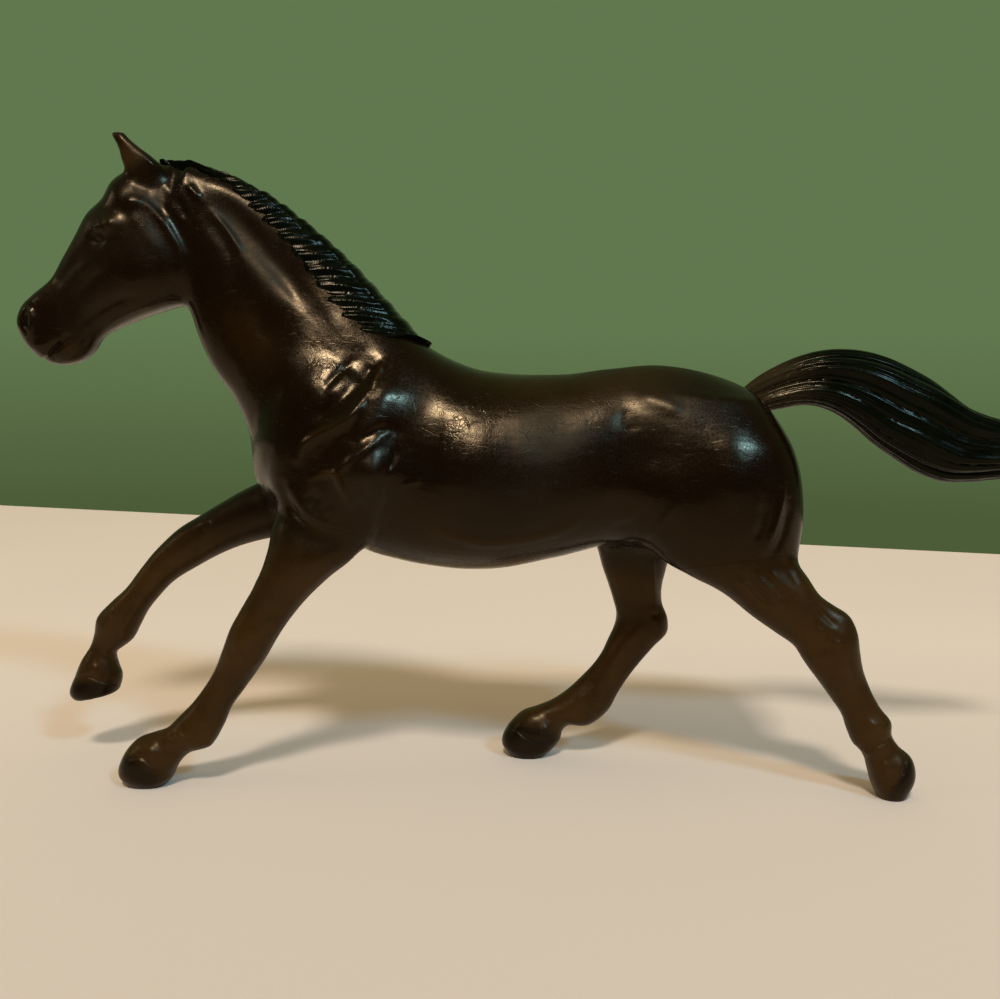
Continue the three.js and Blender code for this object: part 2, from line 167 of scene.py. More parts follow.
# Left ear, base to tip, front edge and back edge
EAR_SHARES = [
    (-0.384, 0.915, -0.35, 0.925, 0.055, -0.085),
    (-0.386, 0.938, -0.353, 0.947, 0.062, -0.105),
    (-0.389, 0.958, -0.362, 0.962, 0.055, -0.118),
    (-0.391, 0.975, -0.374, 0.977, 0.042, -0.125),
    (-0.396, 0.99, -0.383, 0.99, 0.028, -0.13),
    (-0.3985, 0.9985, -0.3865, 0.9975, 0.014, -0.13),
]

# The right ear points a little further forwards, by this share of the figure's length
RIGHT_EAR_LEAD_SHARE = 0.0065

# Left shoulder and arm, withers to elbow, front edge and back edge
SHOULDER_SHARES = [
    (-0.205, 0.655, -0.14, 0.655, 0.09, -0.17),
    (-0.248, 0.595, -0.133, 0.595, 0.17, -0.21),
    (-0.258, 0.53, -0.138, 0.525, 0.205, -0.235),
    (-0.252, 0.465, -0.145, 0.455, 0.2, -0.25),
    (-0.232, 0.415, -0.158, 0.408, 0.14, -0.28),
    (-0.208, 0.388, -0.176, 0.386, 0.07, -0.28),
]

# Haunches, croup to stifle, front edge and back edge
LEFT_HAUNCH_SHARES = [
    (0.09, 0.6, 0.185, 0.595, 0.1, -0.2),
    (0.066, 0.535, 0.212, 0.53, 0.19, -0.25),
    (0.07, 0.465, 0.223, 0.46, 0.215, -0.26),
    (0.086, 0.402, 0.224, 0.4, 0.205, -0.27),
    (0.108, 0.36, 0.22, 0.366, 0.165, -0.27),
    (0.138, 0.342, 0.208, 0.35, 0.1, -0.27),
]
RIGHT_HAUNCH_SHARES = [
    (0.085, 0.6, 0.18, 0.595, 0.1, 0.2),
    (0.048, 0.535, 0.212, 0.53, 0.19, 0.25),
    (0.04, 0.465, 0.208, 0.46, 0.215, 0.26),
    (0.042, 0.412, 0.185, 0.405, 0.205, 0.27),
    (0.05, 0.378, 0.155, 0.374, 0.165, 0.27),
    (0.062, 0.362, 0.128, 0.358, 0.1, 0.27),
]

# Legs, from inside the body to the sole, front edge and back edge
LEFT_FORELEG_SHARES = [
    (-0.238, 0.45, -0.165, 0.44, 0.13, -0.25),
    (-0.25, 0.41, -0.164, 0.392, 0.155, -0.27),
    (-0.254, 0.372, -0.176, 0.362, 0.16, -0.29),
    (-0.261, 0.335, -0.198, 0.33, 0.145, -0.3),
    (-0.27, 0.302, -0.218, 0.297, 0.125),
    (-0.28, 0.275, -0.234, 0.265, 0.11),
    (-0.289, 0.248, -0.246, 0.236, 0.112),
    (-0.296, 0.216, -0.257, 0.204, 0.105, -0.295),
    (-0.303, 0.187, -0.268, 0.176, 0.09, -0.29),
    (-0.312, 0.16, -0.279, 0.15, 0.078, -0.285),
    (-0.325, 0.13, -0.29, 0.124, 0.078, -0.28),
    (-0.338, 0.107, -0.298, 0.094, 0.09),
    (-0.35, 0.088, -0.309, 0.064, 0.098),
    (-0.362, 0.081, -0.328, 0.052, 0.09),
    (-0.377, 0.071, -0.336, 0.04, 0.108),
    (-0.39, 0.044, -0.341, 0.027, 0.126),
    (-0.394, 0.018, -0.345, 0.012, 0.125),
    (-0.386, 0, -0.352, 0, 0.095),
]
RIGHT_FORELEG_SHARES = [
    (-0.225, 0.48, -0.22, 0.385, 0.15, 0.22),
    (-0.26, 0.472, -0.248, 0.375, 0.155, 0.24),
    (-0.288, 0.456, -0.275, 0.367, 0.15, 0.25),
    (-0.315, 0.43, -0.302, 0.354, 0.135, 0.26),
    (-0.339, 0.405, -0.325, 0.337, 0.12),
    (-0.362, 0.381, -0.347, 0.315, 0.11),
    (-0.383, 0.348, -0.366, 0.294, 0.1),
    (-0.4, 0.313, -0.379, 0.272, 0.095),
    (-0.414, 0.282, -0.392, 0.245, 0.1),
    (-0.43, 0.257, -0.401, 0.218, 0.108),
    (-0.443, 0.232, -0.408, 0.196, 0.1),
    (-0.446, 0.206, -0.418, 0.182, 0.085),
    (-0.45, 0.185, -0.425, 0.172, 0.08),
    (-0.459, 0.16, -0.423, 0.15, 0.1),
    (-0.465, 0.136, -0.42, 0.134, 0.112),
    (-0.471, 0.104, -0.424, 0.108, 0.125),
    (-0.466, 0.092, -0.428, 0.104, 0.11),
]
LEFT_HIND_LEG_SHARES = [
    (0.14, 0.43, 0.212, 0.44, 0.13, -0.25),
    (0.108, 0.372, 0.22, 0.395, 0.155, -0.27),
    (0.127, 0.342, 0.225, 0.362, 0.16, -0.29),
    (0.16, 0.31, 0.235, 0.337, 0.15, -0.31),
    (0.184, 0.279, 0.245, 0.312, 0.13, -0.33),
    (0.206, 0.253, 0.258, 0.296, 0.112, -0.34),
    (0.223, 0.233, 0.271, 0.282, 0.108, -0.35),
    (0.231, 0.213, 0.279, 0.257, 0.112, -0.355),
    (0.237, 0.199, 0.282, 0.226, 0.105, -0.36),
    (0.247, 0.178, 0.286, 0.195, 0.09),
    (0.258, 0.153, 0.293, 0.167, 0.08),
    (0.268, 0.128, 0.303, 0.14, 0.082),
    (0.273, 0.104, 0.313, 0.119, 0.095),
    (0.279, 0.083, 0.314, 0.099, 0.09),
    (0.289, 0.066, 0.32, 0.082, 0.09),
    (0.293, 0.046, 0.333, 0.062, 0.108),
    (0.298, 0.02, 0.336, 0.034, 0.118),
    (0.304, 0, 0.328, 0, 0.09),
]
RIGHT_HIND_LEG_SHARES = [
    (0.062, 0.43, 0.13, 0.43, 0.13, 0.25),
    (0.052, 0.375, 0.128, 0.37, 0.155, 0.27),
    (0.056, 0.335, 0.121, 0.325, 0.15, 0.29),
    (0.063, 0.3, 0.117, 0.29, 0.135, 0.3),
    (0.069, 0.27, 0.118, 0.264, 0.115, 0.305),
    (0.073, 0.245, 0.124, 0.238, 0.11),
    (0.071, 0.224, 0.124, 0.214, 0.112),
    (0.065, 0.2, 0.111, 0.19, 0.1),
    (0.059, 0.177, 0.099, 0.166, 0.085),
    (0.05, 0.155, 0.087, 0.14, 0.08),
    (0.038, 0.133, 0.076, 0.112, 0.082),
    (0.025, 0.112, 0.065, 0.078, 0.095),
    (0.01, 0.095, 0.046, 0.054, 0.095),
    (-0.005, 0.084, 0.027, 0.054, 0.088),
    (-0.021, 0.074, 0.021, 0.046, 0.105),
    (-0.036, 0.046, 0.018, 0.028, 0.122),
    (-0.04, 0.02, 0.011, 0.014, 0.122),
    (-0.03, 0, 0.002, 0, 0.095),
]

# Tail, root to tip, top edge and bottom edge
TAIL_SHARES = [
    (0.172, 0.606, 0.192, 0.578, 0.06),
    (0.19, 0.63, 0.208, 0.592, 0.075),
    (0.211, 0.651, 0.224, 0.599, 0.085),
    (0.235, 0.669, 0.241, 0.602, 0.1),
    (0.26, 0.679, 0.257, 0.598, 0.12),
    (0.289, 0.679, 0.275, 0.585, 0.135),
    (0.315, 0.669, 0.292, 0.565, 0.15),
    (0.339, 0.652, 0.309, 0.541, 0.155),
    (0.36, 0.634, 0.329, 0.519, 0.16),
    (0.378, 0.614, 0.35, 0.498, 0.155),
    (0.396, 0.594, 0.372, 0.485, 0.15),
    (0.417, 0.581, 0.396, 0.484, 0.13),
    (0.438, 0.572, 0.42, 0.488, 0.11),
    (0.46, 0.559, 0.446, 0.492, 0.085),
    (0.481, 0.54, 0.472, 0.496, 0.055),
    (0.497, 0.514, 0.493, 0.5, 0.018),
]

# Mane, withers to poll, crest edge and lower edge
MANE_SHARES = [
    (-0.112, 0.682, -0.116, 0.674, 0.03),
    (-0.12, 0.696, -0.131, 0.676, 0.13),
    (-0.134, 0.722, -0.162, 0.677, 0.21),
    (-0.156, 0.762, -0.19, 0.708, 0.2),
    (-0.178, 0.801, -0.21, 0.749, 0.17),
    (-0.204, 0.842, -0.23, 0.796, 0.145),
    (-0.232, 0.88, -0.253, 0.839, 0.11),
    (-0.262, 0.915, -0.277, 0.878, 0.1),
    (-0.296, 0.942, -0.302, 0.916, 0.09),
    (-0.328, 0.96, -0.33, 0.943, 0.07),
    (-0.348, 0.963, -0.348, 0.955, 0.045),
    (-0.36, 0.96, -0.359, 0.955, 0.02),
]

# Relief of the near side. Each row is one stroke of the modelling tool: how far it lifts the surface in
# millimetres (less than zero presses in), its width in pixels, and the pixels of the photograph that it
# runs through.
HEAD_STROKES = [
    # Brow over the eye, temple and the hollows round them
    (0.3, 6, [(93, 231), (99, 226), (105, 224)]),
    (0.8, 9, [(111, 224)]),
    (0.3, 5.5, [(125, 204), (133, 201), (142, 205)]),
    (-0.18, 8, [(114, 204), (124, 210), (134, 216)]),
    # Socket, eyeball and lids
    (-0.8, 8, [(97, 239)]),
    (0.42, 4.4, [(98, 237)]),
    (0.12, 3, [(88, 234), (97, 228), (108, 234)]),
    (0.07, 2.8, [(89, 242), (98, 246), (108, 240)]),
    # Back edge of the jaw and the groove behind it
    (0.2, 4, [(132, 197), (145, 203), (158, 216), (170, 233), (178, 248), (181, 262), (179, 280)]),
    (-0.3, 6, [(150, 196), (168, 212), (182, 234), (191, 252), (194, 272), (191, 292), (185, 303)]),
    (-0.08, 14, [(152, 245), (158, 268), (152, 288)]),
    # Hollow under the ear's root
    (-0.14, 5.5, [(130, 184), (142, 187), (156, 191)]),
    # Hollow and rim of the ear
    (-0.22, 3.5, [(124, 150), (130, 162), (136, 174)]),
    (0.1, 2.2, [(117, 141), (121, 152), (125, 165)]),
    (0.08, 2.4, [(138, 152), (148, 160), (156, 167)]),
    # Cheek bone running to the muzzle, and the side of the nose
    (0.12, 5.5, [(100, 257), (89, 264), (76, 275)]),
    (-0.26, 7, [(84, 250), (67, 270), (50, 292)]),
    (-0.2, 5, [(104, 270), (90, 282), (76, 300)]),
    # Groove between the cheek and the bar of the jaw, down to the corner of the mouth
    (-0.34, 5, [(140, 296), (118, 300), (103, 308), (90, 317), (80, 326)]),
    (0.22, 5, [(160, 301), (134, 308), (112, 319), (98, 330)]),
    # Mouth, lips and chin
    (-0.45, 2.2, [(38, 366), (45, 359), (51, 352), (57, 346), (63, 341), (69, 337)]),
    (-0.25, 3.5, [(66, 337)]),
    (0.24, 3.6, [(52, 359), (62, 352), (70, 346), (78, 340)]),
    (0.25, 4, [(30, 347), (38, 346), (48, 342), (58, 333)]),
    (-0.2, 4, [(82, 347), (88, 338)]),
    # Nostril with its rim
    (-0.55, 2.5, [(26, 310), (24, 317), (24, 324), (26, 332)]),
    (0.32, 2.4, [(27, 303), (31, 311), (32, 321), (30, 332), (27, 338)]),
    (-0.22, 4.5, [(40, 306), (41, 318), (39, 330)]),
]

NECK_STROKES = [
    # Bar behind the ear and the two short ridges under it
    (0.36, 4.2, [(186, 184), (193, 191), (200, 200)]),
    (0.18, 4.5, [(163, 184), (168, 190), (172, 198)]),
    (-0.24, 5, [(174, 194), (180, 206), (188, 220)]),
    (0.34, 3.6, [(212, 211), (220, 221), (229, 233), (237, 246), (242, 258)]),
    (-0.24, 6, [(202, 214), (213, 228), (224, 244), (232, 264)]),
    # Long muscle under the mane and the groove between
    (0.08, 6.5, [(204, 180), (228, 194), (252, 216), (275, 250), (297, 274), (318, 299), (336, 322)]),
    (-0.95, 18, [(200, 188), (212, 198), (228, 212), (252, 236), (276, 261), (299, 288), (316, 309)]),
    (-0.1, 6, [(248, 246), (268, 264), (288, 287), (308, 312)]),
    (0.15, 12, [(250, 256), (272, 280), (294, 306), (312, 332)]),
    (-0.3, 13, [(222, 240), (244, 290), (270, 336), (290, 362)]),
    # Throat
    (0.2, 9, [(214, 300), (226, 335), (244, 372)]),
]

SHOULDER_STROKES = [
    # Blade of the shoulder: two fingers at its top, the grooves and ridges that fan down from it
    (0.5, 30, [(300, 424)]),
    (1.2, 34, [(291, 373)]),
    (-0.6, 20, [(362, 372)]),
    (0.18, 14, [(337, 356), (322, 376), (304, 402)]),
    (-0.2, 3.4, [(353, 361), (344, 370), (334, 381), (325, 394)]),
    (0.17, 9, [(355, 369), (347, 379), (337, 390), (328, 402)]),
    (-0.42, 8, [(362, 384), (348, 398), (330, 411), (308, 424)]),
    (0.34, 3, [(385, 361), (380, 371), (375, 381), (371, 392)]),
    (-0.3, 6, [(374, 364), (368, 376), (364, 388)]),
    (0.6, 4.2, [(367, 396), (362, 405), (352, 418), (337, 428), (321, 435), (306, 445), (298, 459)]),
    (-0.28, 7, [(372, 412), (356, 429), (338, 443), (318, 460)]),
    (0.4, 3.4, [(378, 442), (366, 449), (353, 458), (341, 471)]),
    (-0.34, 4.5, [(392, 428), (376, 432), (358, 442)]),
    # Upper arm: two rounded bellies and the dip between them
    (0.5, 22, [(384, 388)]),
    (2.1, 42, [(364, 422)]),
    (2.5, 30, [(364, 478)]),
    (0.8, 22, [(384, 471)]),
    (-0.3, 9, [(350, 438)]),
    (-0.2, 8, [(398, 432)]),
    (-0.25, 3, [(398, 444), (397, 458), (390, 472)]),
    # Ridge in the shape of a Y above the elbow, and the hollows beside it
    (0.4, 3.2, [(312, 478), (324, 474), (335, 474), (342, 488), (351, 507)]),
    (0.22, 2.6, [(335, 474), (340, 464)]),
    (-0.4, 7, [(308, 492), (318, 504)]),
    (-0.42, 7.5, [(362, 476), (365, 494), (356, 514)]),
    (0.25, 9, [(328, 506), (336, 522)]),
    # Line behind the elbow and the girth
    (0.22, 2.4, [(386, 484), (378, 506), (370, 530), (364, 546)]),
    (-0.28, 3.2, [(394, 482), (388, 504), (380, 530), (372, 546)]),
    (0.16, 2.2, [(402, 486), (412, 483), (422, 480)]),
    (-0.55, 4.2, [(282, 486), (288, 502), (297, 517), (313, 532), (338, 541), (364, 545)]),
    (-0.2, 6, [(272, 440), (264, 470), (268, 500)]),
    (0.28, 4.5, [(291, 490), (301, 505), (319, 521), (344, 529)]),
]

BARREL_STROKES = [
    # Edge of the belly muscle and the flank
    (0.2, 4, [(428, 528), (452, 537), (486, 544), (537, 538), (572, 526), (592, 510)]),
    (-0.16, 5, [(430, 518), (470, 532), (520, 534), (560, 522)]),
    (-0.06, 7, [(512, 430), (508, 470), (512, 505)]),
    (-0.05, 6, [(548, 430), (546, 470), (552, 500)]),
    # Swell of the ribs, the hollow of the flank and the swell of the quarter behind it
    (0.25, 26, [(458, 414)]),
    (0.9, 38, [(462, 472)]),
    (-0.9, 34, [(652, 450)]),
    (-0.35, 30, [(700, 452)]),
    (0.45, 30, [(736, 476)]),
    # Point of the hip, loin and croup
    (0.24, 8, [(634, 393), (650, 398), (668, 405), (686, 414)]),
    (-0.14, 10, [(620, 408), (628, 420), (636, 434)]),
    # Fold from the flank down to the stifle
    (0.22, 5, [(592, 540), (622, 541), (646, 534), (660, 524), (676, 505)]),
    (-0.22, 5, [(612, 528), (634, 522), (650, 508)]),
    # Back of the quarters
    (0.3, 3, [(784, 480), (781, 505), (774, 530), (764, 552)]),
    (-0.28, 3.5, [(790, 500), (788, 515), (782, 538), (772, 556)]),
    (-0.22, 5, [(764, 500), (762, 524), (752, 546)]),
]

LEFT_FORELEG_STROKES = [
    (-0.28, 4.5, [(336, 560), (316, 572), (298, 586), (282, 600), (268, 614), (256, 626)]),
    (0.18, 4, [(318, 566), (298, 580), (280, 598), (262, 620)]),
    (0.16, 5, [(262, 574), (254, 594), (244, 610)]),
    (0.2, 5, [(240, 632), (238, 648), (244, 660)]),
    (-0.16, 3, [(252, 640), (250, 656), (242, 672)]),
    (0.14, 3, [(262, 658), (248, 668), (236, 678)]),
    (-0.26, 3.2, [(246, 680), (232, 694), (222, 708), (212, 724), (204, 738)]),
    (0.18, 4, [(206, 740), (210, 746)]),
    (0.16, 2.4, [(172, 730), (184, 738), (198, 744)]),
    (-0.18, 2.2, [(168, 735), (180, 743), (190, 750)]),
    (0.3, 7, [(146, 750), (158, 752)]),
    (-0.22, 1.8, [(127, 760), (140, 757), (150, 764), (162, 774), (168, 780)]),
]

RIGHT_FORELEG_STROKES = [
    (0.22, 5, [(212, 520), (200, 528)]),
    (-0.18, 5, [(226, 528), (206, 544), (186, 562)]),
    (0.18, 5, [(118, 608), (110, 618)]),
    (-0.16, 3, [(128, 602), (124, 616), (112, 630)]),
    (0.2, 4, [(128, 636), (122, 642)]),
    (0.22, 4.5, [(98, 668), (90, 669)]),
    (-0.2, 1.6, [(76, 677), (90, 677), (104, 682), (122, 684)]),
]

LEFT_HIND_LEG_STROKES = [
    # Crease under the thigh and the two tendons that come out of it
    (-0.55, 5, [(738, 574), (748, 579), (760, 592), (772, 604)]),
    (0.22, 3.4, [(752, 575), (762, 583), (771, 593), (780, 604)]),
    (0.14, 2.6, [(771, 571), (777, 578), (784, 588)]),
    (-0.18, 3, [(766, 574), (774, 584), (784, 598)]),
    (0.14, 3.2, [(789, 556), (795, 566), (802, 578)]),
    (-0.14, 3.4, [(782, 560), (790, 572), (800, 588)]),
    # Hock: the cord to its point and the small bones
    (0.16, 3, [(824, 603), (836, 611), (848, 620), (854, 628)]),
    (-0.26, 4, [(818, 608), (830, 620), (840, 628)]),
    (0.24, 3.4, [(819, 628), (822, 636)]),
    (0.26, 3, [(837, 641), (838, 646)]),
    (-0.24, 3.2, [(826, 646), (830, 652)]),
    (0.16, 3.4, [(834, 656), (842, 672), (850, 690)]),
    (-0.2, 3, [(846, 656), (854, 676), (864, 696)]),
    # Fetlock, pastern and hoof
    (0.22, 3, [(868, 721), (874, 725), (880, 729)]),
    (-0.22, 2.2, [(856, 747), (868, 748), (880, 744), (890, 738)]),
    (0.22, 2.4, [(862, 754), (874, 752), (886, 746)]),
    (0.25, 6, [(880, 768), (888, 764)]),
    (-0.26, 1.7, [(905, 757), (904, 772), (896, 784), (882, 790)]),
]

RIGHT_HIND_LEG_STROKES = [
    (0.26, 3.6, [(650, 552), (652, 575), (655, 600)]),
    (-0.26, 4, [(640, 556), (642, 580), (646, 602)]),
    (-0.3, 3.5, [(652, 614), (660, 616)]),
    (0.22, 4, [(640, 628), (626, 646), (610, 668)]),
    (-0.24, 3.6, [(628, 630), (612, 652), (594, 678), (574, 698)]),
    (0.24, 5, [(588, 712), (594, 708)]),
    (0.24, 5, [(548, 727), (540, 733)]),
    (-0.22, 1.8, [(514, 726), (524, 736), (540, 742), (556, 738)]),
]

# The body's forms in the order they are pressed together: table, whether it is mirrored to the other
# side, taper, fullness, and the fillet where it meets the forms before it
RIGHT_EAR_SHARES = [
    (front_x - RIGHT_EAR_LEAD_SHARE, front_z, back_x - RIGHT_EAR_LEAD_SHARE, *rest)
    for front_x, front_z, back_x, *rest in EAR_SHARES
]
BODY_FORMS = [
    (TRUNK_SHARES, False, SPINE_TAPER_SHARE, SECTION_FULLNESS_SHARE, 0.001),
    (NECK_SHARES, False, 0, NECK_FULLNESS_SHARE, 0.003),
    (HEAD_SHARES, False, 0, HEAD_FULLNESS_SHARE, 0.0025),
    (SHOULDER_SHARES, False, 0, SECTION_FULLNESS_SHARE, 0.0025),
    (SHOULDER_SHARES, True, 0, SECTION_FULLNESS_SHARE, 0.0025),
    (LEFT_HAUNCH_SHARES, False, 0, SECTION_FULLNESS_SHARE, 0.004),
    (RIGHT_HAUNCH_SHARES, False, 0, SECTION_FULLNESS_SHARE, 0.004),
    (EAR_SHARES, False, 0, SECTION_FULLNESS_SHARE, 0.0012),
    (RIGHT_EAR_SHARES, True, 0, SECTION_FULLNESS_SHARE, 0.0012),
]
LEG_SHARES = {
    "left_foreleg": LEFT_FORELEG_SHARES,
    "right_foreleg": RIGHT_FORELEG_SHARES,
    "left_hind_leg": LEFT_HIND_LEG_SHARES,
    "right_hind_leg": RIGHT_HIND_LEG_SHARES,
}
LEG_STROKES = {
    "left_foreleg": LEFT_FORELEG_STROKES,
    "right_foreleg": RIGHT_FORELEG_STROKES,
    "left_hind_leg": LEFT_HIND_LEG_STROKES,
    "right_hind_leg": RIGHT_HIND_LEG_STROKES,
}

# Strokes of colour and of finish: weight, width in pixels, and the pixels they run through
DARK_STROKES = [
    (1.3, 7, [(92, 236), (104, 239)]),
    # Nostril: painted shade in its hollow
    (0.9, 3, [(25, 318), (25, 325), (27, 331)]),
    # Line of the mouth: painted shade in the crease
    (0.3, 1.8, [(48, 355), (58, 346), (70, 336)]),
]
PALE_STROKES = [
    # Head
    (0.8, 12, [(118, 140), (128, 155), (138, 168)]),
    (0.45, 14, [(60, 352), (80, 350)]),
    # Lower edge of the jaw: painted reflection of the floor
    (0.35, 16, [(120, 325), (160, 312)]),
    # Brow over the eye: painted highlight
    (0.4, 10, [(108, 216), (118, 226)]),
    # Body
    # Along the belly: painted reflection of the floor
    (0.6, 20, [(400, 552), (450, 560), (500, 566), (570, 552)]),
    # Top of the back: painted sheen
    (0.35, 26, [(470, 375), (560, 385), (640, 378), (700, 384)]),
    # Middle of the barrel: painted sheen, a soft brown glow
    (0.25, 34, [(520, 420), (552, 452)]),
    (0.35, 24, [(300, 520), (330, 545)]),
    (0.3, 26, [(215, 300), (250, 345), (285, 385)]),
    # Painted highlights along the crests of the relief
    (0.4, 2.6, [(385, 361), (380, 371), (375, 381), (371, 392)]),
    (0.35, 2.8, [(363, 397), (358, 404), (348, 417), (335, 425), (321, 431), (305, 441), (297, 455)]),
    (0.35, 2.6, [(374, 443), (364, 448), (352, 457), (340, 470)]),
    (0.5, 2.6, [(312, 478), (324, 474), (335, 474), (342, 488), (351, 507)]),
    (0.25, 3.4, [(284, 486), (290, 502), (299, 515), (315, 529), (340, 537), (366, 541)]),
    (0.25, 3, [(386, 484), (378, 506), (370, 530), (364, 546)]),
    (0.2, 3.4, [(428, 528), (452, 537), (486, 544), (537, 538), (572, 526), (592, 510)]),
]
MATT_STROKES = [
    (0.6, 36, [(535, 400), (545, 430), (556, 470)]),
    (0.6, 34, [(430, 510), (500, 515), (570, 505)]),
    (0.5, 24, [(205, 190), (232, 222), (262, 262), (298, 300)]),
    (0.15, 17, [(424, 375), (427, 415)]),
    (0.35, 32, [(48, 305), (84, 258), (102, 200)]),
    (0.35, 34, [(150, 222), (146, 270)]),
    (0.25, 12, [(126, 190), (150, 198), (172, 188)]),
    (0.5, 15, [(118, 138), (142, 170)]),
    (0.35, 30, [(60, 345), (110, 310)]),
    (0.15, 32, [(625, 426), (700, 442)]),
    (0.5, 30, [(560, 380), (660, 372), (730, 392)]),
    (0.4, 40, [(300, 500), (345, 520)]),
]
CRINKLED_STROKES = [
    (0.9, 30, [(450, 408), (478, 424)]),
    (0.5, 34, [(520, 436), (560, 446)]),
    (0.55, 26, [(342, 356), (322, 384)]),
    (0.3, 16, [(598, 411)]),
]
LEG_DARK_STROKES = {
    "left_foreleg": [(1.4, 11, [(116, 760), (128, 767), (142, 777), (162, 786)])],
    "right_foreleg": [(2.2, 11, [(60, 692), (96, 696), (134, 696)])],
    "left_hind_leg": [(1.4, 7.5, [(915, 756), (907, 782), (890, 802)])],
    "right_hind_leg": [(2.4, 17, [(496, 738), (530, 746), (566, 756)])],
}

# How crinkled everything is at least, how matt the legs are, how pale each leg is (the far legs less, as
# painted shade on the far side), and below what share of the figure's height and over what length that
# begins
LEAST_CRINKLED = 0.05
LEG_MATT = 0.25
LEG_PALE_SHARE = {"left_foreleg": 1.0, "right_foreleg": 0.15, "left_hind_leg": 1.0, "right_hind_leg": 0.3}
LEG_PALE_TOP_SHARE = 0.44
LEG_PALE_FADE = 0.018

# Colours, as linear light
BODY_BROWN = (0.0042, 0.0015, 0.0004)
LEG_BROWN = (0.025, 0.0105, 0.0017)
DARK_BROWN = (0.0025, 0.0012, 0.0004)
# The hair's black has a green cast: a painted reflection of the green wall
HAIR_BLACK = (0.0012, 0.0022, 0.0008)
HAIR_ROOT = (0.022, 0.014, 0.006)
PAPER = (0.68, 0.578, 0.474)

# How strongly each plastic reflects, and the tint of it
BROWN_SHINE = 0.27
BROWN_TINT = (1.0, 0.74, 0.44)
BLACK_SHINE = 0.10
BLACK_TINT = (1.0, 0.82, 0.56)
PAPER_SHINE = 0.2
PAPER_ROUGHNESS = 0.85

# Patterns of noise: size, detail and roughness, and where its range is stretched: from, to, new range
PATTERNS = {
    "patches": (0.011, 3, 0.5, 0.35, 0.7),
    "mottle": (0.0021, 3, 0.6, 0.5, 0.75, 0, 0.35),
    "cracked": (0.006, 1, 0.5, 0.5, 0.56),
    "worn": (0.0019, 2, 0.5, 0.40, 0.58, 0.15, 1),
    "gloss": (0.0035, 4, 0.65, 0.3, 0.72, 0.13, 0.20),
    "scratches": (0.00045, 1, 0.5, 0.66, 0.74),
    "swell": (0.0022, 2, 0.5),
    "fine": (0.00028, 2, 0.6),
    "hair_patches": (0.006, 3, 0.5, 0.35, 0.7),
    "hair_gloss": (0.0016, 3, 0.6, 0.3, 0.7, 0.15, 0.27),
    "streaks": (0.0004, 2, 0.6),
    "paint": (0.0005, 2, 0.6),
    "tint": (0.12, 2, 0.5, 0.3, 0.7),
    "grain": (0.0006, 3, 0.7),
}

# Cells of the crinkles and cracks, and the size and the reach of the noise that warps them
CRINKLE_SIZE = 0.00062
CRACK_SIZE = 0.0034
WARP_SIZE = 0.0018
WARP_REACH = 0.0012

# Heights of the bumps
SWELL_HEIGHT = 0.00004
CRACK_DEPTH = 0.00006
CRINKLE_HEIGHT = 0.000015
FINE_HEIGHT = 0.000008
SCRATCH_HEIGHT = 0.000007
STREAK_HEIGHT = 0.000012
PAINT_HEIGHT = 0.000006
GRAIN_HEIGHT = 0.00003

# Painted shade on the paper from front to back, darkest towards the camera: from one y to the other it rises
# from this share of its colour
PAPER_FALLS = [(-0.08, 0.10, 0.84), (-0.25, -0.07, 0.35)]

# Mane: spans and sides of its form, and the slope of its strands from the poll to the withers, as shares of
# the figure's length and rise over run
MANE_SPANS = 30
MANE_SIDES = 144
STRAND_SLOPE_SHARES = [
    (-0.37, -0.45),
    (-0.33, -0.25),
    (-0.29, 0.05),
    (-0.25, 0.20),
    (-0.21, 0.20),
    (-0.17, 0.02),
    (-0.12, -0.18),
    (-0.08, -0.25),
]
SLOPE_STEPS = 200

# Widths of its tufts, locks and strands, how far and over what length they wander, and their heights
TUFT_WIDTH = 0.0027
LOCK_WIDTH = 0.0013
STRAND_WIDTH = 0.0006
WANDER = 0.0006
WANDER_SIZE = 0.006
VARIED_SIZE = 0.004
CREST_HEIGHT = 0.00030
SIDE_HEIGHT = 0.00034

# Its thickness over the neck at shares of the way down, and how far one fitting step may move a point
THICKNESS = [(0.15, 0.0010), (0.5, 0.0005), (0.85, 0.0), (1.0, -0.0006)]
FITTING_PASSES = 3
FITTING_LIMIT = 0.0015

# Tail: spans and sides of its form, numbers of locks, strands and hairs round it, and their height
TAIL_SPANS = 24
TAIL_SIDES = 180
TAIL_LOCKS = 5
TAIL_STRANDS = 14
TAIL_HAIRS = 41
TAIL_HEIGHT = 0.001

# Where the paint at its root is thin, and over what length that fades
TAIL_ROOT_SHARE = 0.235
TAIL_ROOT_FADE = 0.008

# Table: the x and y of two points on its far edge, how far it goes on beside them, and its depth
TABLE_EDGE_LEFT = (-0.273, 0.408)
TABLE_EDGE_RIGHT = (0.195, 0.259)
TABLE_REACH = 0.9
TABLE_DEPTH = 0.56

# Square lamps: degrees to the right of the camera's side and upwards, size, power and colour
LAMP_DISTANCE = 2.6
LAMPS = {
    "warm_key": (-6, 50, 0.36, 46.0, (1.0, 0.93, 0.86)),
    "cool_side": (37, 37, 0.33, 30.0, (0.30, 0.64, 1.0)),
    "warm_side": (-80, 26, 0.50, 3.0, (1.0, 0.84, 0.62)),
}
CLIP_START = 0.01

# Room: its wall's lower and upper colour, the front of the room, and its light on what isn't glossy, with
# the heights and the turn to the back over which they change
WALL_LOW = (0.072, 0.105, 0.040)
WALL_HIGH = (0.120, 0.185, 0.078)
ROOM_FRONT = (0.085, 0.066, 0.040)
ROOM_LIGHT = (0.54, 0.45, 0.29)
WALL_RISE = (-0.10, 0.05)
WALL_TURN = (-0.45, 0.15)


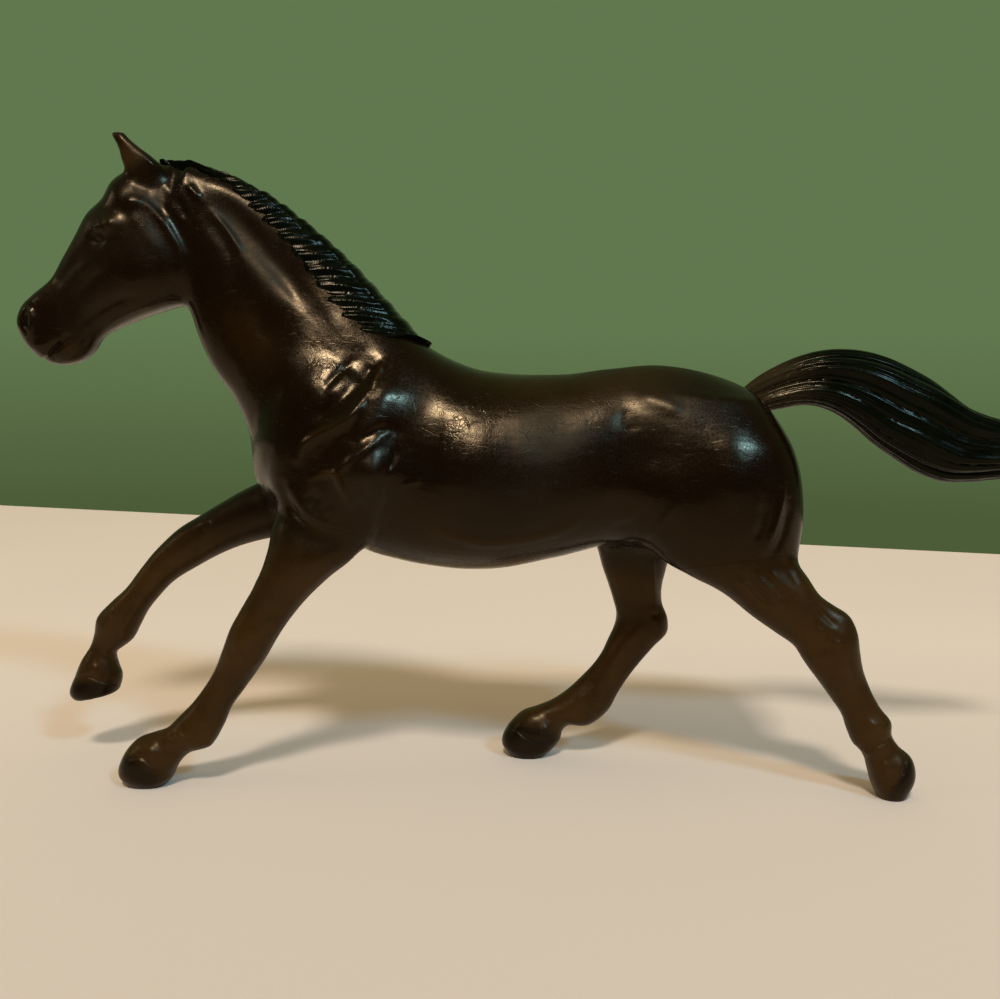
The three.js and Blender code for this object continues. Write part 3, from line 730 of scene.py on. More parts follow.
def placed(x, y, z):
    """A point from its shares of the overall sizes."""
    return np.stack([x * FIGURE_LENGTH, y * BARREL_WIDTH, z * FIGURE_HEIGHT], axis=-1)


def mirrored(rows):
    """The same outline on the other side."""
    return [(*row[:5], -row[5]) for row in rows]


def power(value, exponent):
    """A power that keeps the value's sign."""
    return np.sign(value) * np.abs(value) ** exponent


def eased(value):
    """0 below 0, 1 above 1, and a smooth rise between."""
    value = np.clip(value, 0, 1)
    return value * value * (3 - 2 * value)


def curve_through(points, steps):
    """Points on a smooth curve through the given ones, so many steps to a span."""
    points = np.asarray(points, float)
    padded = np.vstack([2 * points[0] - points[1], points, 2 * points[-1] - points[-2]])
    places = np.linspace(0, len(points) - 1, (len(points) - 1) * steps + 1)
    spans = np.minimum(places.astype(int), len(points) - 2)
    weight = (places - spans)[:, None]
    p0, p1, p2, p3 = (padded[spans + shift] for shift in range(4))
    smallest = FIGURE_LENGTH * 1e-9

    def knot(a, b):
        return np.sqrt(np.maximum(np.linalg.norm(b - a, axis=1, keepdims=True), smallest))

    d0, d1, d2 = knot(p0, p1), knot(p1, p2), knot(p2, p3)
    leave = ((p1 - p0) / d0 - (p2 - p0) / (d0 + d1) + (p2 - p1) / d1) * d1
    arrive = ((p2 - p1) / d1 - (p3 - p1) / (d1 + d2) + (p3 - p2) / d2) * d1
    square = 3 * (p2 - p1) - 2 * leave - arrive
    cube = 2 * (p1 - p2) + leave + arrive
    return p1 + weight * (leave + weight * (square + weight * cube))


def loft(rows, taper=0, sides=FORM_SIDES, steps=FORM_STEPS, fullness=SECTION_FULLNESS_SHARE):
    """Rings of points through the sections of a table, as an array of rings, sides and coordinates."""
    table = []
    for row in rows:
        table.append((*row, table[-1][5] if table else 0)[:6])
    table = np.array(table)
    firsts = curve_through(placed(table[:, 0], table[:, 5], table[:, 1]), steps)
    seconds = curve_through(placed(table[:, 2], table[:, 5], table[:, 3]), steps)
    halves = curve_through(table[:, 4:5] * BARREL_WIDTH, steps)[:, 0]
    angle = np.arange(sides) * 2 * math.pi / sides
    along = power(np.cos(angle), fullness)
    aside = power(np.sin(angle), fullness) * (1 - taper * along)
    rings = ((firsts + seconds) / 2)[:, None] + ((firsts - seconds) / 2)[:, None] * along[:, None]
    rings[:, :, 1] += halves[:, None] * aside
    return rings


def skin(rings):
    """A closed form from rings of points: its points, its four-sided faces and the fans on its ends."""
    count, sides = rings.shape[:2]
    points = np.vstack([rings.reshape(-1, 3), rings[0].mean(0), rings[-1].mean(0)])
    ring, side = np.meshgrid(np.arange(count - 1), np.arange(sides), indexing="ij")
    here = (ring * sides + side).ravel()
    beside = (ring * sides + (side + 1) % sides).ravel()
    quads = np.stack([here, beside, beside + sides, here + sides], axis=1)
    edge = np.arange(sides)
    following = (edge + 1) % sides
    last = (count - 1) * sides
    middle = count * sides
    start = np.stack([np.full(sides, middle), following, edge], axis=1)
    end = np.stack([np.full(sides, middle + 1), last + edge, last + following], axis=1)
    return points, quads, np.vstack([start, end])


def between(values, base, part):
    """A grid's values at places between its points: past each base point by a part of a cell."""
    total = np.zeros(len(base))
    for corner in np.ndindex(2, 2, 2):
        weight = np.prod(np.where(corner, part, 1 - part), axis=1)
        total += weight * values[tuple((base + corner).T)]
    return total


class Clay:
    """Distance to a form's surface on a grid of cells, less than zero inside and more outside."""

    def __init__(self, lowest, values):
        self.lowest = np.array(lowest)
        self.values = values

    @property
    def highest(self):
        """The cell past the last one."""
        return self.lowest + self.values.shape

    def window(self, lowest, highest):
        """The part of the grid between two cells, as slices."""
        start = lowest - self.lowest
        stop = highest - self.lowest
        return tuple(slice(a, b) for a, b in zip(start, stop))

    def shared(self, other):
        """The cells that this clay has in common with another one, as slices of each."""
        lowest = np.maximum(self.lowest, other.lowest)
        highest = np.maximum(np.minimum(self.highest, other.highest), lowest)
        return self.window(lowest, highest), other.window(lowest, highest)

    def copy(self):
        """The same clay, to work on apart from this one."""
        return Clay(self.lowest, self.values.copy())

    def at(self, points):
        """The distance at any points, from the cells round each."""
        place = points / CELL - self.lowest
        base = np.clip(np.floor(place).astype(int), 0, np.array(self.values.shape) - 2)
        part = np.clip(place - base, 0, 1)
        outside = np.any((place < 0) | (place > np.array(self.values.shape) - 1), axis=1)
        return np.where(outside, BAND, between(self.values, base, part))


def clay_of(rings):
    """The clay of one closed form."""
    points, quads, triangles = skin(rings)
    grid = openvdb.FloatGrid.createLevelSetFromPolygons(
        points.astype(np.float32),
        triangles=triangles.astype(np.uint32),
        quads=quads.astype(np.uint32),
        transform=openvdb.createLinearTransform(voxelSize=CELL),
        halfWidth=BAND_CELLS,
    )
    margin = BAND_CELLS + 1
    lowest = np.floor(points.min(0) / CELL).astype(int) - margin
    highest = np.ceil(points.max(0) / CELL).astype(int) + margin
    values = np.empty(highest - lowest, np.float32)
    grid.copyToArray(values, ijk=tuple(int(cell) for cell in lowest))
    return Clay(lowest, values)


def empty_clay(forms):
    """Empty space that holds all the given forms."""
    lowest = np.min([form.lowest for form in forms], axis=0)
    highest = np.max([form.highest for form in forms], axis=0)
    return Clay(lowest, np.full(highest - lowest, BAND, np.float32))


def blended(first, second, fillet):
    """The lesser of two distances, rounded over where they are within a fillet of each other."""
    nearness = np.maximum(fillet - np.abs(first - second), 0)
    return np.minimum(first, second) - nearness ** 2 / (4 * fillet)


def press_on(clay, form, fillet):
    """Adds a form to the clay with a fillet round the join."""
    mine, its = clay.shared(form)
    clay.values[mine] = blended(clay.values[mine], form.values[its], fillet)


def halved(quads):
    """Four-sided faces as three-sided ones."""
    return np.vstack([quads[:, [0, 1, 2]], quads[:, [0, 2, 3]]])


def polygons_of(clay):
    """Surface of the clay as points and three-sided faces."""
    grid = openvdb.FloatGrid(BAND)
    grid.transform = openvdb.createLinearTransform(voxelSize=CELL)
    grid.copyFromArray(np.ascontiguousarray(clay.values), ijk=tuple(int(cell) for cell in clay.lowest))
    points, triangles, quads = grid.convertToPolygons()
    return points.astype(float), np.vstack([triangles.reshape(-1, 3), halved(quads)]).astype(np.int64)


def edges_of(faces):
    """Every edge once, as pairs of points, and the edge's number for each side of each face."""
    pairs = np.vstack([faces[:, [0, 1]], faces[:, [1, 2]], faces[:, [2, 0]]])
    edges, which = np.unique(np.sort(pairs, axis=1), axis=0, return_inverse=True)
    return edges, which.reshape(3, -1).T


def faired(points, faces, passes=FAIRING_PASSES):
    """Evens out the surface without shrinking it: each pass goes halfway to the neighbours, then back."""
    edges, _ = edges_of(faces)
    starts = np.concatenate([edges[:, 0], edges[:, 1]])
    ends = np.concatenate([edges[:, 1], edges[:, 0]])
    counts = np.bincount(starts, minlength=len(points))[:, None]
    inwards_share, outwards_share = 0.50, -0.52
    for _ in range(passes):
        for share in (inwards_share, outwards_share):
            sums = [np.bincount(starts, points[ends, axis], len(points)) for axis in range(3)]
            points = points + share * (np.stack(sums, axis=1) / counts - points)
    return points


def normals_of(points, faces):
    """The direction that the surface faces at each point."""
    a, b, c = (points[faces[:, corner]] for corner in range(3))
    across = np.cross(b - a, c - a)
    total = np.zeros_like(points)
    for corner in range(3):
        for axis in range(3):
            total[:, axis] += np.bincount(faces[:, corner], across[:, axis], len(points))
    return total / np.linalg.norm(total, axis=1, keepdims=True)


def camera_axes():
    """The camera's right, up and forward directions."""
    pitch = math.atan((PHOTO_HEIGHT / 2 - HORIZON_ROW) / FOCAL_PIXELS)
    forward = np.array([0, math.cos(pitch), -math.sin(pitch)])
    level = np.array([1.0, 0, 0])
    upright = np.cross(level, forward)
    right = math.cos(CAMERA_ROLL) * level + math.sin(CAMERA_ROLL) * upright
    up = math.cos(CAMERA_ROLL) * upright - math.sin(CAMERA_ROLL) * level
    return right, up, forward


def seen_at(points):
    """Pixels of the photograph at which points show."""
    right, up, forward = camera_axes()
    sight = points - CAMERA_PLACE
    depth = sight @ forward
    columns = PHOTO_WIDTH / 2 + FOCAL_PIXELS * (sight @ right) / depth
    rows = PHOTO_HEIGHT / 2 - FOCAL_PIXELS * (sight @ up) / depth
    return np.stack([columns, rows], axis=1)


def near_side(points):
    """The points, with those of the far side mirrored to the side that the photograph shows."""
    return points * [1, 0, 1] - np.abs(points) * [0, 1, 0]


def nearest_on(route, places):
    """Distance of each place to a line of points, and how far along the line, from 0 to 1, it is."""
    lengths = np.linalg.norm(np.diff(route, axis=0), axis=1)
    starts = np.concatenate([[0], np.cumsum(lengths)])
    best = np.full(len(places), np.inf)
    along = np.zeros(len(places))
    for index, length in enumerate(lengths):
        step = (route[index + 1] - route[index]) / length
        reach = np.clip((places - route[index]) @ step, 0, length)
        distance = np.linalg.norm(places - route[index] - reach[:, None] * step, axis=1)
        closer = distance < best
        best = np.where(closer, distance, best)
        along = np.where(closer, (starts[index] + reach) / starts[-1], along)
    return best, along


def stroked(strokes, seen):
    """What strokes of the modelling tool add up to at each place. A stroke fades out towards its ends."""
    total = np.zeros(len(seen))
    for height, width, route in strokes:
        if len(route) > 1:
            route = curve_through(route, STROKE_STEPS)
        margin = STROKE_REACH * width
        low, high = np.min(route, axis=0) - margin, np.max(route, axis=0) + margin
        near = np.flatnonzero(np.all((seen > low) & (seen < high), axis=1))
        if len(route) > 1:
            distance, along = nearest_on(route, seen[near])
            ends = eased(along / STROKE_FADING_SHARE) * eased((1 - along) / STROKE_FADING_SHARE)
            ends = STROKE_END_SHARE + (1 - STROKE_END_SHARE) * ends
        else:
            distance = np.linalg.norm(seen[near] - route[0], axis=1)
            ends = 1
        total[near] += height * ends * np.exp(-(distance / width) ** 2)
    return total


def uneven(points, size, seed):
    """Smooth random values from -1 to 1 that change over the given size."""
    rng = np.random.default_rng(seed)
    place = points / size
    lowest = np.floor(place.min(0)).astype(int)
    counts = np.ceil(place.max(0)).astype(int) - lowest + 2
    lattice = rng.uniform(-1, 1, counts)
    place = place - lowest
    base = np.floor(place).astype(int)
    return between(lattice, base, eased(place - base))


def object_of(name, points, faces, material):
    """A smooth-shaded object from points and faces."""
    mesh = bpy.data.meshes.new(name)
    mesh.from_pydata(points, [], faces)
    mesh.polygons.foreach_set("use_smooth", [True] * len(mesh.polygons))
    mesh.materials.append(material)
    made = bpy.data.objects.new(name, mesh)
    bpy.context.scene.collection.objects.link(made)
    return made


def arrays_of(thing):
    """Points and three-sided faces of an object's mesh."""
    mesh = thing.data
    mesh.calc_loop_triangles()
    points = np.empty(len(mesh.vertices) * 3)
    faces = np.empty(len(mesh.loop_triangles) * 3, np.int32)
    mesh.vertices.foreach_get("co", points)
    mesh.loop_triangles.foreach_get("vertices", faces)
    return points.reshape(-1, 3), faces.reshape(-1, 3)


def combined(first, second, operation, name):
    """A new object from a boolean of two."""
    made = first.copy()
    made.data = first.data.copy()
    made.name = name
    made.data.name = name
    bpy.context.scene.collection.objects.link(made)
    cut = made.modifiers.new("cut", "BOOLEAN")
    cut.object = second
    cut.operation = operation
    cut.solver = "MANIFOLD"
    graph = bpy.context.evaluated_depsgraph_get()
    result = bpy.data.meshes.new_from_object(made.evaluated_get(graph))
    made.modifiers.clear()
    made.data = result
    return made


def removed(*things):
    """Takes helper objects away."""
    for thing in things:
        bpy.data.objects.remove(thing)


def turned_out(points, faces):
    """The same faces, turned so that all of them face outwards."""
    a, b, c = (points[faces[:, corner]] for corner in range(3))
    return faces if np.sum(a * np.cross(b, c)) > 0 else faces[:, ::-1]


def refined(points, faces, wanted):
    """Splits the faces whose three corners are wanted into four, and their neighbours to match."""
    normals = normals_of(points, faces)
    edges, which = edges_of(faces)
    split = np.zeros(len(edges), bool)
    split[which[wanted[faces].all(axis=1)]] = True
    a, b = edges[split].T
    along = points[b] - points[a]
    bulge_a, bulge_b = (
        np.sum(along * normals[end], axis=1, keepdims=True) * normals[end] for end in (a, b)
    )
    middles = (points[a] + points[b]) / 2 - (bulge_a - bulge_b) / 8
    number = np.full(len(edges), -1)
    number[split] = len(points) + np.arange(split.sum())
    middle = number[which]
    count = (middle >= 0).sum(axis=1)
    made = [faces[count == 0]]
    # One split edge gives two faces, two give three, and three give four. The corners are turned so that
    # the split edge comes first, or the whole one last.
    for turn in range(3):
        order = [turn, (turn + 1) % 3, (turn + 2) % 3]
        corner = faces[:, order]
        half = middle[:, order]
        one = (count == 1) & (half[:, 0] >= 0)
        p, q, r = corner[one].T
        m = half[one, 0]
        made += [np.stack(face, axis=1) for face in ((p, m, r), (m, q, r))]
        two = (count == 2) & (half[:, 2] < 0)
        p, q, r = corner[two].T
        m, n = half[two, 0], half[two, 1]
        made += [np.stack(face, axis=1) for face in ((m, q, n), (p, m, n), (p, n, r))]
    three = count == 3
    p, q, r = faces[three].T
    m, n, o = middle[three].T
    made += [np.stack(face, axis=1) for face in ((p, m, o), (m, q, n), (o, n, r), (m, n, o))]
    return np.vstack([points, middles]), np.vstack(made)


def leg_weights(points, blend):
    """How much each point belongs to each leg and to the body, from 0 to 1, changing over a distance."""
    weights = {
        name: eased(0.5 + (body.at(points) - leg.at(points)) / blend) for name, leg in legs.items()
    }
    return weights, 1 - sum(weights.values()).clip(0, 1)


def sculpted(points, faces):
    """Relief on the whole figure's surface."""
    normals = normals_of(points, faces)
    weights, body_weight = leg_weights(points, LEG_BLEND)
    outward = normals[:, 1] * np.where(points[:, 1] > 0, 1, -1)
    body_strokes = HEAD_STROKES + NECK_STROKES + SHOULDER_STROKES + BARREL_STROKES
    lift = MM * stroked(body_strokes, seen_at(near_side(points)))
    lift *= eased((outward - FADE_START) / FADE_SPAN) * body_weight
    seen = seen_at(points)
    for name, strokes in LEG_STROKES.items():
        lift += MM * stroked(strokes, seen) * weights[name]
    for size, height, seed in UNEVENNESS:
        lift += height * uneven(points, size, seed)
    return points + normals * lift[:, None]


def paint(colour, share=1.0):
    """A colour for a node, at a share of its strength."""
    return (*(share * part for part in colour), 1)


class Nodes:
    """The shader nodes of a material or of the room."""

    def __init__(self, owner):
        owner.use_nodes = True
        self.tree = owner.node_tree

    def put(self, made, inputs):
        """Sets a node's inputs to values, or links them to other nodes' outputs."""
        for name, value in inputs.items():
            if isinstance(value, bpy.types.NodeSocket):
                self.tree.links.new(value, made.inputs[name])
            else:
                made.inputs[name].default_value = value

    def node(self, kind, inputs, **settings):
        """The outputs of a new node."""
        made = self.tree.nodes.new(kind)
        for name, value in settings.items():
            setattr(made, name, value)
        self.put(made, inputs)
        return made.outputs

    def math(self, operation, first, second=0.0, third=0.0):
        """One sum of up to three numbers."""
        return self.node("ShaderNodeMath", {0: first, 1: second, 2: third}, operation=operation)[0]

    def spread(self, value, low, high, to_low=0.0, to_high=1.0):
        """Stretches the values between low and high over another range."""
        inputs = {"Value": value, "From Min": low, "From Max": high, "To Min": to_low, "To Max": to_high}
        return self.node("ShaderNodeMapRange", inputs, clamp=True)["Result"]

    def mixed(self, share, first, second):
        """The first colour, with a share of the second one."""
        return self.node("ShaderNodeMix", {0: share, 6: first, 7: second}, data_type="RGBA")[2]


class Finish(Nodes):
    """The nodes of a material for plastic or paper."""

    def __init__(self, name):
        self.material = bpy.data.materials.new(name)
        super().__init__(self.material)
        self.place = self.node("ShaderNodeTexCoord", {})["Object"]

    def noise(self, size, detail=2.0, roughness=0.5, place=None, output="Fac"):
        """Noise from 0 to 1 with features of the given size in metres."""
        inputs = {"Vector": place or self.place, "Scale": 1 / size, "Detail": detail, "Roughness": roughness}
        return self.node("ShaderNodeTexNoise", inputs)[output]

    def pattern(self, name, place=None):
        """One of the patterns of noise."""
        size, detail, roughness, *ranges = PATTERNS[name]
        made = self.noise(size, detail, roughness, place)
        return self.spread(made, *ranges) if ranges else made

    def cells(self, place, size):
        """Distance to the edges of cells of the given size."""
        inputs = {"Vector": place, "Scale": 1 / size}
        return self.node("ShaderNodeTexVoronoi", inputs, feature="DISTANCE_TO_EDGE")["Distance"]

    def stretched(self, place, rotation, share):
        """Coordinates that make features longer along one axis."""
        inputs = {"Vector": place, "Rotation": rotation, "Scale": (share, 1, 1)}
        return self.node("ShaderNodeMapping", inputs)[0]

    def painted(self, name):
        """Values that a mesh holds at its points."""
        return self.node("ShaderNodeAttribute", {}, attribute_name=name)["Fac"]

    def bumps(self, layers):
        """Normals that are bent by layers, each a pattern and its height."""
        below = {}
        for pattern, height in layers:
            normal = self.node("ShaderNodeBump", {"Height": pattern, "Distance": height, **below})["Normal"]
            below = {"Normal": normal}
        return normal

    def done(self, colour, roughness, normal, shine, tint=(1, 1, 1)):
        """Puts all of it on the shader and gives the material."""
        inputs = {"Base Color": colour, "Roughness": roughness, "Normal": normal}
        inputs |= {"Specular IOR Level": shine, "Specular Tint": (*tint, 1)}
        self.put(self.tree.nodes["Principled BSDF"], inputs)
        return self.material


def brown_plastic(name):
    """Moulded plastic: brown, crinkled by its dried surface, scuffed and a little uneven in colour, with
    painted highlights, painted reflections of the floor and painted shade in its colour.
    """
    finish = Finish(name)
    patches = finish.pattern("patches")
    body_colour = finish.mixed(patches, paint(BODY_BROWN, 0.78), paint(BODY_BROWN, 1.22))
    leg_colour = finish.mixed(patches, paint(LEG_BROWN, 0.66), paint(LEG_BROWN, 1.2))
    # The pale mask brings in the leg colour: the legs' own, and painted highlights and floor reflections on
    # the body
    colour = finish.mixed(finish.painted("pale"), body_colour, leg_colour)
    colour = finish.mixed(finish.pattern("mottle"), colour, paint(BODY_BROWN, 0.5))
    # The dark mask: paint of the eye and hooves, and painted shade in the nostril and the mouth
    colour = finish.mixed(finish.painted("dark"), colour, paint(DARK_BROWN))
    # Crinkles and cracks: the edges of cells, where noise has moved them about
    warp = finish.noise(WARP_SIZE, output="Color")
    moved = {0: warp, 1: (WARP_REACH,) * 3, 2: finish.place}
    warped = finish.node("ShaderNodeVectorMath", moved, operation="MULTIPLY_ADD")[0]
    crinkle = finish.spread(finish.cells(warped, CRINKLE_SIZE), 0, 0.14)
    crack = finish.spread(finish.cells(warped, CRACK_SIZE), 0.008, 0.03, 1, 0)
    crack = finish.math("MULTIPLY", crack, finish.pattern("cracked"))
    fine = finish.pattern("fine", warped)
    scratch = finish.pattern("scratches", finish.stretched(warped, (0.3, 0.9, 0.2), 0.14))
    crinkled = finish.painted("crinkled")
    worn = finish.math("MULTIPLY", crinkled, finish.pattern("worn"))
    # Roughness: a range of its own, and how much each pattern adds
    roughness = finish.pattern("gloss")
    dull = finish.math("SUBTRACT", 1, crinkle)
    for pattern, share in ((fine, 0.05), (scratch, 0.12), (dull, 0.08), (finish.painted("matt"), 0.50)):
        roughness = finish.math("MULTIPLY_ADD", pattern, share, roughness)
    normal = finish.bumps([
        (finish.pattern("swell"), SWELL_HEIGHT),
        (finish.math("MULTIPLY", crack, finish.math("MULTIPLY", crinkled, -1)), CRACK_DEPTH),
        (finish.math("MULTIPLY", crinkle, worn), CRINKLE_HEIGHT),
        (fine, FINE_HEIGHT),
        (scratch, SCRATCH_HEIGHT),
    ])
    return finish.done(colour, roughness, normal, BROWN_SHINE, BROWN_TINT)


def black_plastic(name):
    """Glossy black paint over moulded hair, thin at the tail's root."""
    finish = Finish(name)
    patches = finish.pattern("hair_patches")
    colour = finish.mixed(patches, paint(HAIR_BLACK, 0.7), paint(HAIR_BLACK, 1.4))
    colour = finish.mixed(finish.painted("pale"), colour, paint(HAIR_ROOT))
    streaks = finish.pattern("streaks", finish.stretched(finish.place, (0, 0.15, 0), 0.12))
    normal = finish.bumps([(streaks, STREAK_HEIGHT), (finish.pattern("paint"), PAINT_HEIGHT)])
    return finish.done(colour, finish.pattern("hair_gloss"), normal, BLACK_SHINE, BLACK_TINT)


def plain_paper(name):
    """Matt paper with a fine grain, and painted shade that darkens it towards the camera."""
    finish = Finish(name)
    shade = finish.mixed(finish.pattern("tint"), paint(PAPER, 0.97), paint(PAPER))
    depth = finish.node("ShaderNodeSeparateXYZ", {0: finish.place})["Y"]
    # Painted shade, darkening the paper towards the camera
    for start, stop, share in PAPER_FALLS:
        shade = finish.mixed(finish.spread(depth, start, stop), paint(PAPER, share), shade)
    normal = finish.bumps([(finish.pattern("grain"), GRAIN_HEIGHT)])
    return finish.done(shade, PAPER_ROUGHNESS, normal, PAPER_SHINE)


def make_room():
    """A muted wall for the camera and for reflections, and a plain warm light on everything else."""
    world = bpy.data.worlds.new("room")
    bpy.context.scene.world = world
    room = Nodes(world)
    direction = room.node("ShaderNodeTexCoord", {})["Generated"]
    direction = room.node("ShaderNodeSeparateXYZ", {0: direction})
    wall = room.mixed(room.spread(direction["Z"], *WALL_RISE), paint(WALL_LOW), paint(WALL_HIGH))
    around = room.mixed(room.spread(direction["Y"], *WALL_TURN), paint(ROOM_FRONT), wall)
    path = room.node("ShaderNodeLightPath", {})
    shown = path["Is Camera Ray"]
    for kind in ("Is Glossy Ray", "Is Transmission Ray"):
        shown = room.math("MAXIMUM", shown, path[kind])
    room.put(room.tree.nodes["Background"], {"Color": room.mixed(shown, paint(ROOM_LIGHT), around)})


def make_camera():
    """The photograph's camera."""
    right, up, forward = camera_axes()
    lens = bpy.data.cameras.new("camera")
    lens.sensor_width = SENSOR_WIDTH_MM
    lens.sensor_fit = "HORIZONTAL"
    lens.lens = FOCAL_PIXELS * SENSOR_WIDTH_MM / PHOTO_WIDTH
    lens.clip_start = CLIP_START
    camera = bpy.data.objects.new("camera", lens)
    columns = [Vector(right), Vector(up), Vector(-forward)]
    camera.matrix_world = Matrix.Translation(Vector(CAMERA_PLACE)) @ Matrix(columns).transposed().to_4x4()
    bpy.context.scene.collection.objects.link(camera)
    bpy.context.scene.camera = camera


def make_lamp(name, azimuth, elevation, size, power, colour):
    """A square lamp that faces the figure."""
    turn, rise = math.radians(azimuth), math.radians(elevation)
    direction = Vector((math.sin(turn) * math.cos(rise), -math.cos(turn) * math.cos(rise), math.sin(rise)))
    lamp = bpy.data.lights.new(name, "AREA")
    lamp.energy = power
    lamp.size = size
    lamp.color = colour
    holder = bpy.data.objects.new(name, lamp)
    holder.location = Vector((0, 0, FIGURE_HEIGHT / 2)) + LAMP_DISTANCE * direction
    holder.rotation_euler = (-direction).to_track_quat("-Z", "Y").to_euler()
    bpy.context.scene.collection.objects.link(holder)


def make_table():
    """A pale tabletop that ends behind the figure."""
    left, right = Vector(TABLE_EDGE_LEFT), Vector(TABLE_EDGE_RIGHT)
    along = (right - left).normalized()
    middle = (left + right) / 2
    forwards = Vector((along.y, -along.x)) * TABLE_DEPTH
    back_left = middle - along * TABLE_REACH
    back_right = middle + along * TABLE_REACH
    outline = (back_left, back_left + forwards, back_right + forwards, back_right)
    corners = [(*corner, 0) for corner in outline]
    return object_of("tabletop", corners, [(0, 1, 2, 3)], plain_paper("paper"))


def given_points(made, **painted):
    """Stores values from 0 to 1 at a mesh's points, for its material."""
    for name, values in painted.items():
        layer = made.data.attributes.new(name, "FLOAT", "POINT")
        layer.data.foreach_set("value", np.clip(values, 0, 1).astype(np.float32))


def tinted(made):
    """Stores how pale, dark, crinkled and matt each point of a brown piece is; pale and dark hold painted
    highlights, painted reflections of the floor and painted shade as well as real colour.
    """
    points, _ = arrays_of(made)
    weights, body_weight = leg_weights(points, TINT_BLEND)
    seen = seen_at(near_side(points))
    pale, dark, crinkled, matt = (
        body_weight * stroked(strokes, seen)
        for strokes in (PALE_STROKES, DARK_STROKES, CRINKLED_STROKES, MATT_STROKES)
    )
    seen = seen_at(points)
    low = eased((LEG_PALE_TOP_SHARE * FIGURE_HEIGHT - points[:, 2]) / LEG_PALE_FADE)
    for name, weight in weights.items():
        dark += weight * stroked(LEG_DARK_STROKES[name], seen)
        # Legs are paler low down; the far legs less so, as painted shade
        pale += weight * LEG_PALE_SHARE[name] * low
    crinkled += LEAST_CRINKLED
    matt += LEG_MATT * (1 - body_weight)
    given_points(made, pale=pale, dark=dark, crinkled=crinkled, matt=matt)


def settled(made, slot, *nodes):
    """Sharp edges where a piece was cut, and its place in the frame."""
    made.data.polygons.foreach_set("use_smooth", [True] * len(made.data.polygons))
    made.data.set_sharp_from_angle(angle=SHARP_ANGLE)
    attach(made, "root")
    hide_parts(*nodes)


def leg_cutter(name, grow):
    """What belongs to a leg: nearer to its form than to the body's."""
    form = legs[name]
    shared, its = body.shared(form)
    body_part = np.full(form.values.shape, BAND, np.float32)
    body_part[its] = body.values[shared]
    values = np.maximum((form.values - body_part) / 2, form.values - LEG_REACH) - grow
    cutter_points, cutter_faces = polygons_of(Clay(form.lowest, values.astype(np.float32)))
    return object_of("cutter", faired(cutter_points, cutter_faces, CUTTER_PASSES), cutter_faces, brown)


def half_space(side):
    """A block over one side of the middle plane."""
    near, far = side * SEAM / 2, side * FIGURE_HEIGHT
    corners = [
        (x, y, z)
        for x in (-FIGURE_LENGTH, FIGURE_LENGTH)
        for y in sorted((near, far))
        for z in (-FIGURE_HEIGHT, 2 * FIGURE_HEIGHT)
    ]
    faces = [(0, 1, 3, 2), (4, 6, 7, 5), (0, 4, 5, 1), (2, 3, 7, 6), (0, 2, 6, 4), (1, 5, 7, 3)]
    return object_of("half_space", corners, faces, brown)


def ridge(phase):
    """A row of rounded strands with narrow grooves between, from -1 to 1."""
    return 2 * np.abs(np.sin(math.pi * phase)) ** 0.7 - 1


def tuft(phase):
    """A row of tufts, each rising slowly and ending in a step down to the next, from -1 to 1."""
    part = phase - np.floor(phase)
    return 2 * eased(part / 0.85) * eased((1 - part) / 0.15) - 1


def strand_rise(x):
    """How far a strand of the mane has risen at each x."""
    shares, slopes = np.array(STRAND_SLOPE_SHARES).T
    places = np.linspace(shares[0], shares[-1], SLOPE_STEPS) * FIGURE_LENGTH
    slope = np.interp(places, shares * FIGURE_LENGTH, slopes)
    rise = np.concatenate([[0], np.cumsum((slope[1:] + slope[:-1]) / 2 * np.diff(places))])
    return np.interp(x, places, rise)


def hair_form(rings):
    """Points, three-sided faces and normals of a closed form from rings of points."""
    points, quads, caps = skin(rings)
    faces = turned_out(points, np.vstack([halved(quads), caps]))
    return points, faces, normals_of(points, faces)


def mane_form():
    """Points and faces of the mane: strands on a form that is laid on the neck at its sides."""
    rings = loft(MANE_SHARES, sides=MANE_SIDES, steps=MANE_SPANS, fullness=MANE_FULLNESS_SHARE)
    points, faces, normals = hair_form(rings)
    angle = np.arange(MANE_SIDES) * 2 * math.pi / MANE_SIDES
    down = (1 - power(np.cos(angle), MANE_FULLNESS_SHARE)) / 2
    down = np.concatenate([np.tile(down, len(rings)), [0.5, 0.5]])
    across = points[:, 2] - strand_rise(points[:, 0]) + WANDER * uneven(points, WANDER_SIZE, 5)
    strands = 0.52 * tuft(across / TUFT_WIDTH) + 0.22 * tuft(across / LOCK_WIDTH + 0.3)
    strands += 0.04 * ridge(across / STRAND_WIDTH)
    strands *= 0.75 + 0.25 * uneven(points, VARIED_SIZE, 6)
    points = points + normals * (CREST_HEIGHT * strands)[:, None]
    # The sides thin out downwards
    thickness = np.interp(down, *np.array(THICKNESS).T) + SIDE_HEIGHT * strands
    hug = eased((down - 0.12) / 0.25)
    steps = np.eye(3) * CELL
    for _ in range(FITTING_PASSES):
        slope = np.stack([body.at(points + step) - body.at(points - step) for step in steps], axis=1)
        slope /= np.linalg.norm(slope, axis=1, keepdims=True).clip(1e-9)
        move = (thickness - body.at(points)).clip(-FITTING_LIMIT, FITTING_LIMIT) * hug
        points = points + slope * move[:, None]
    return points, faces


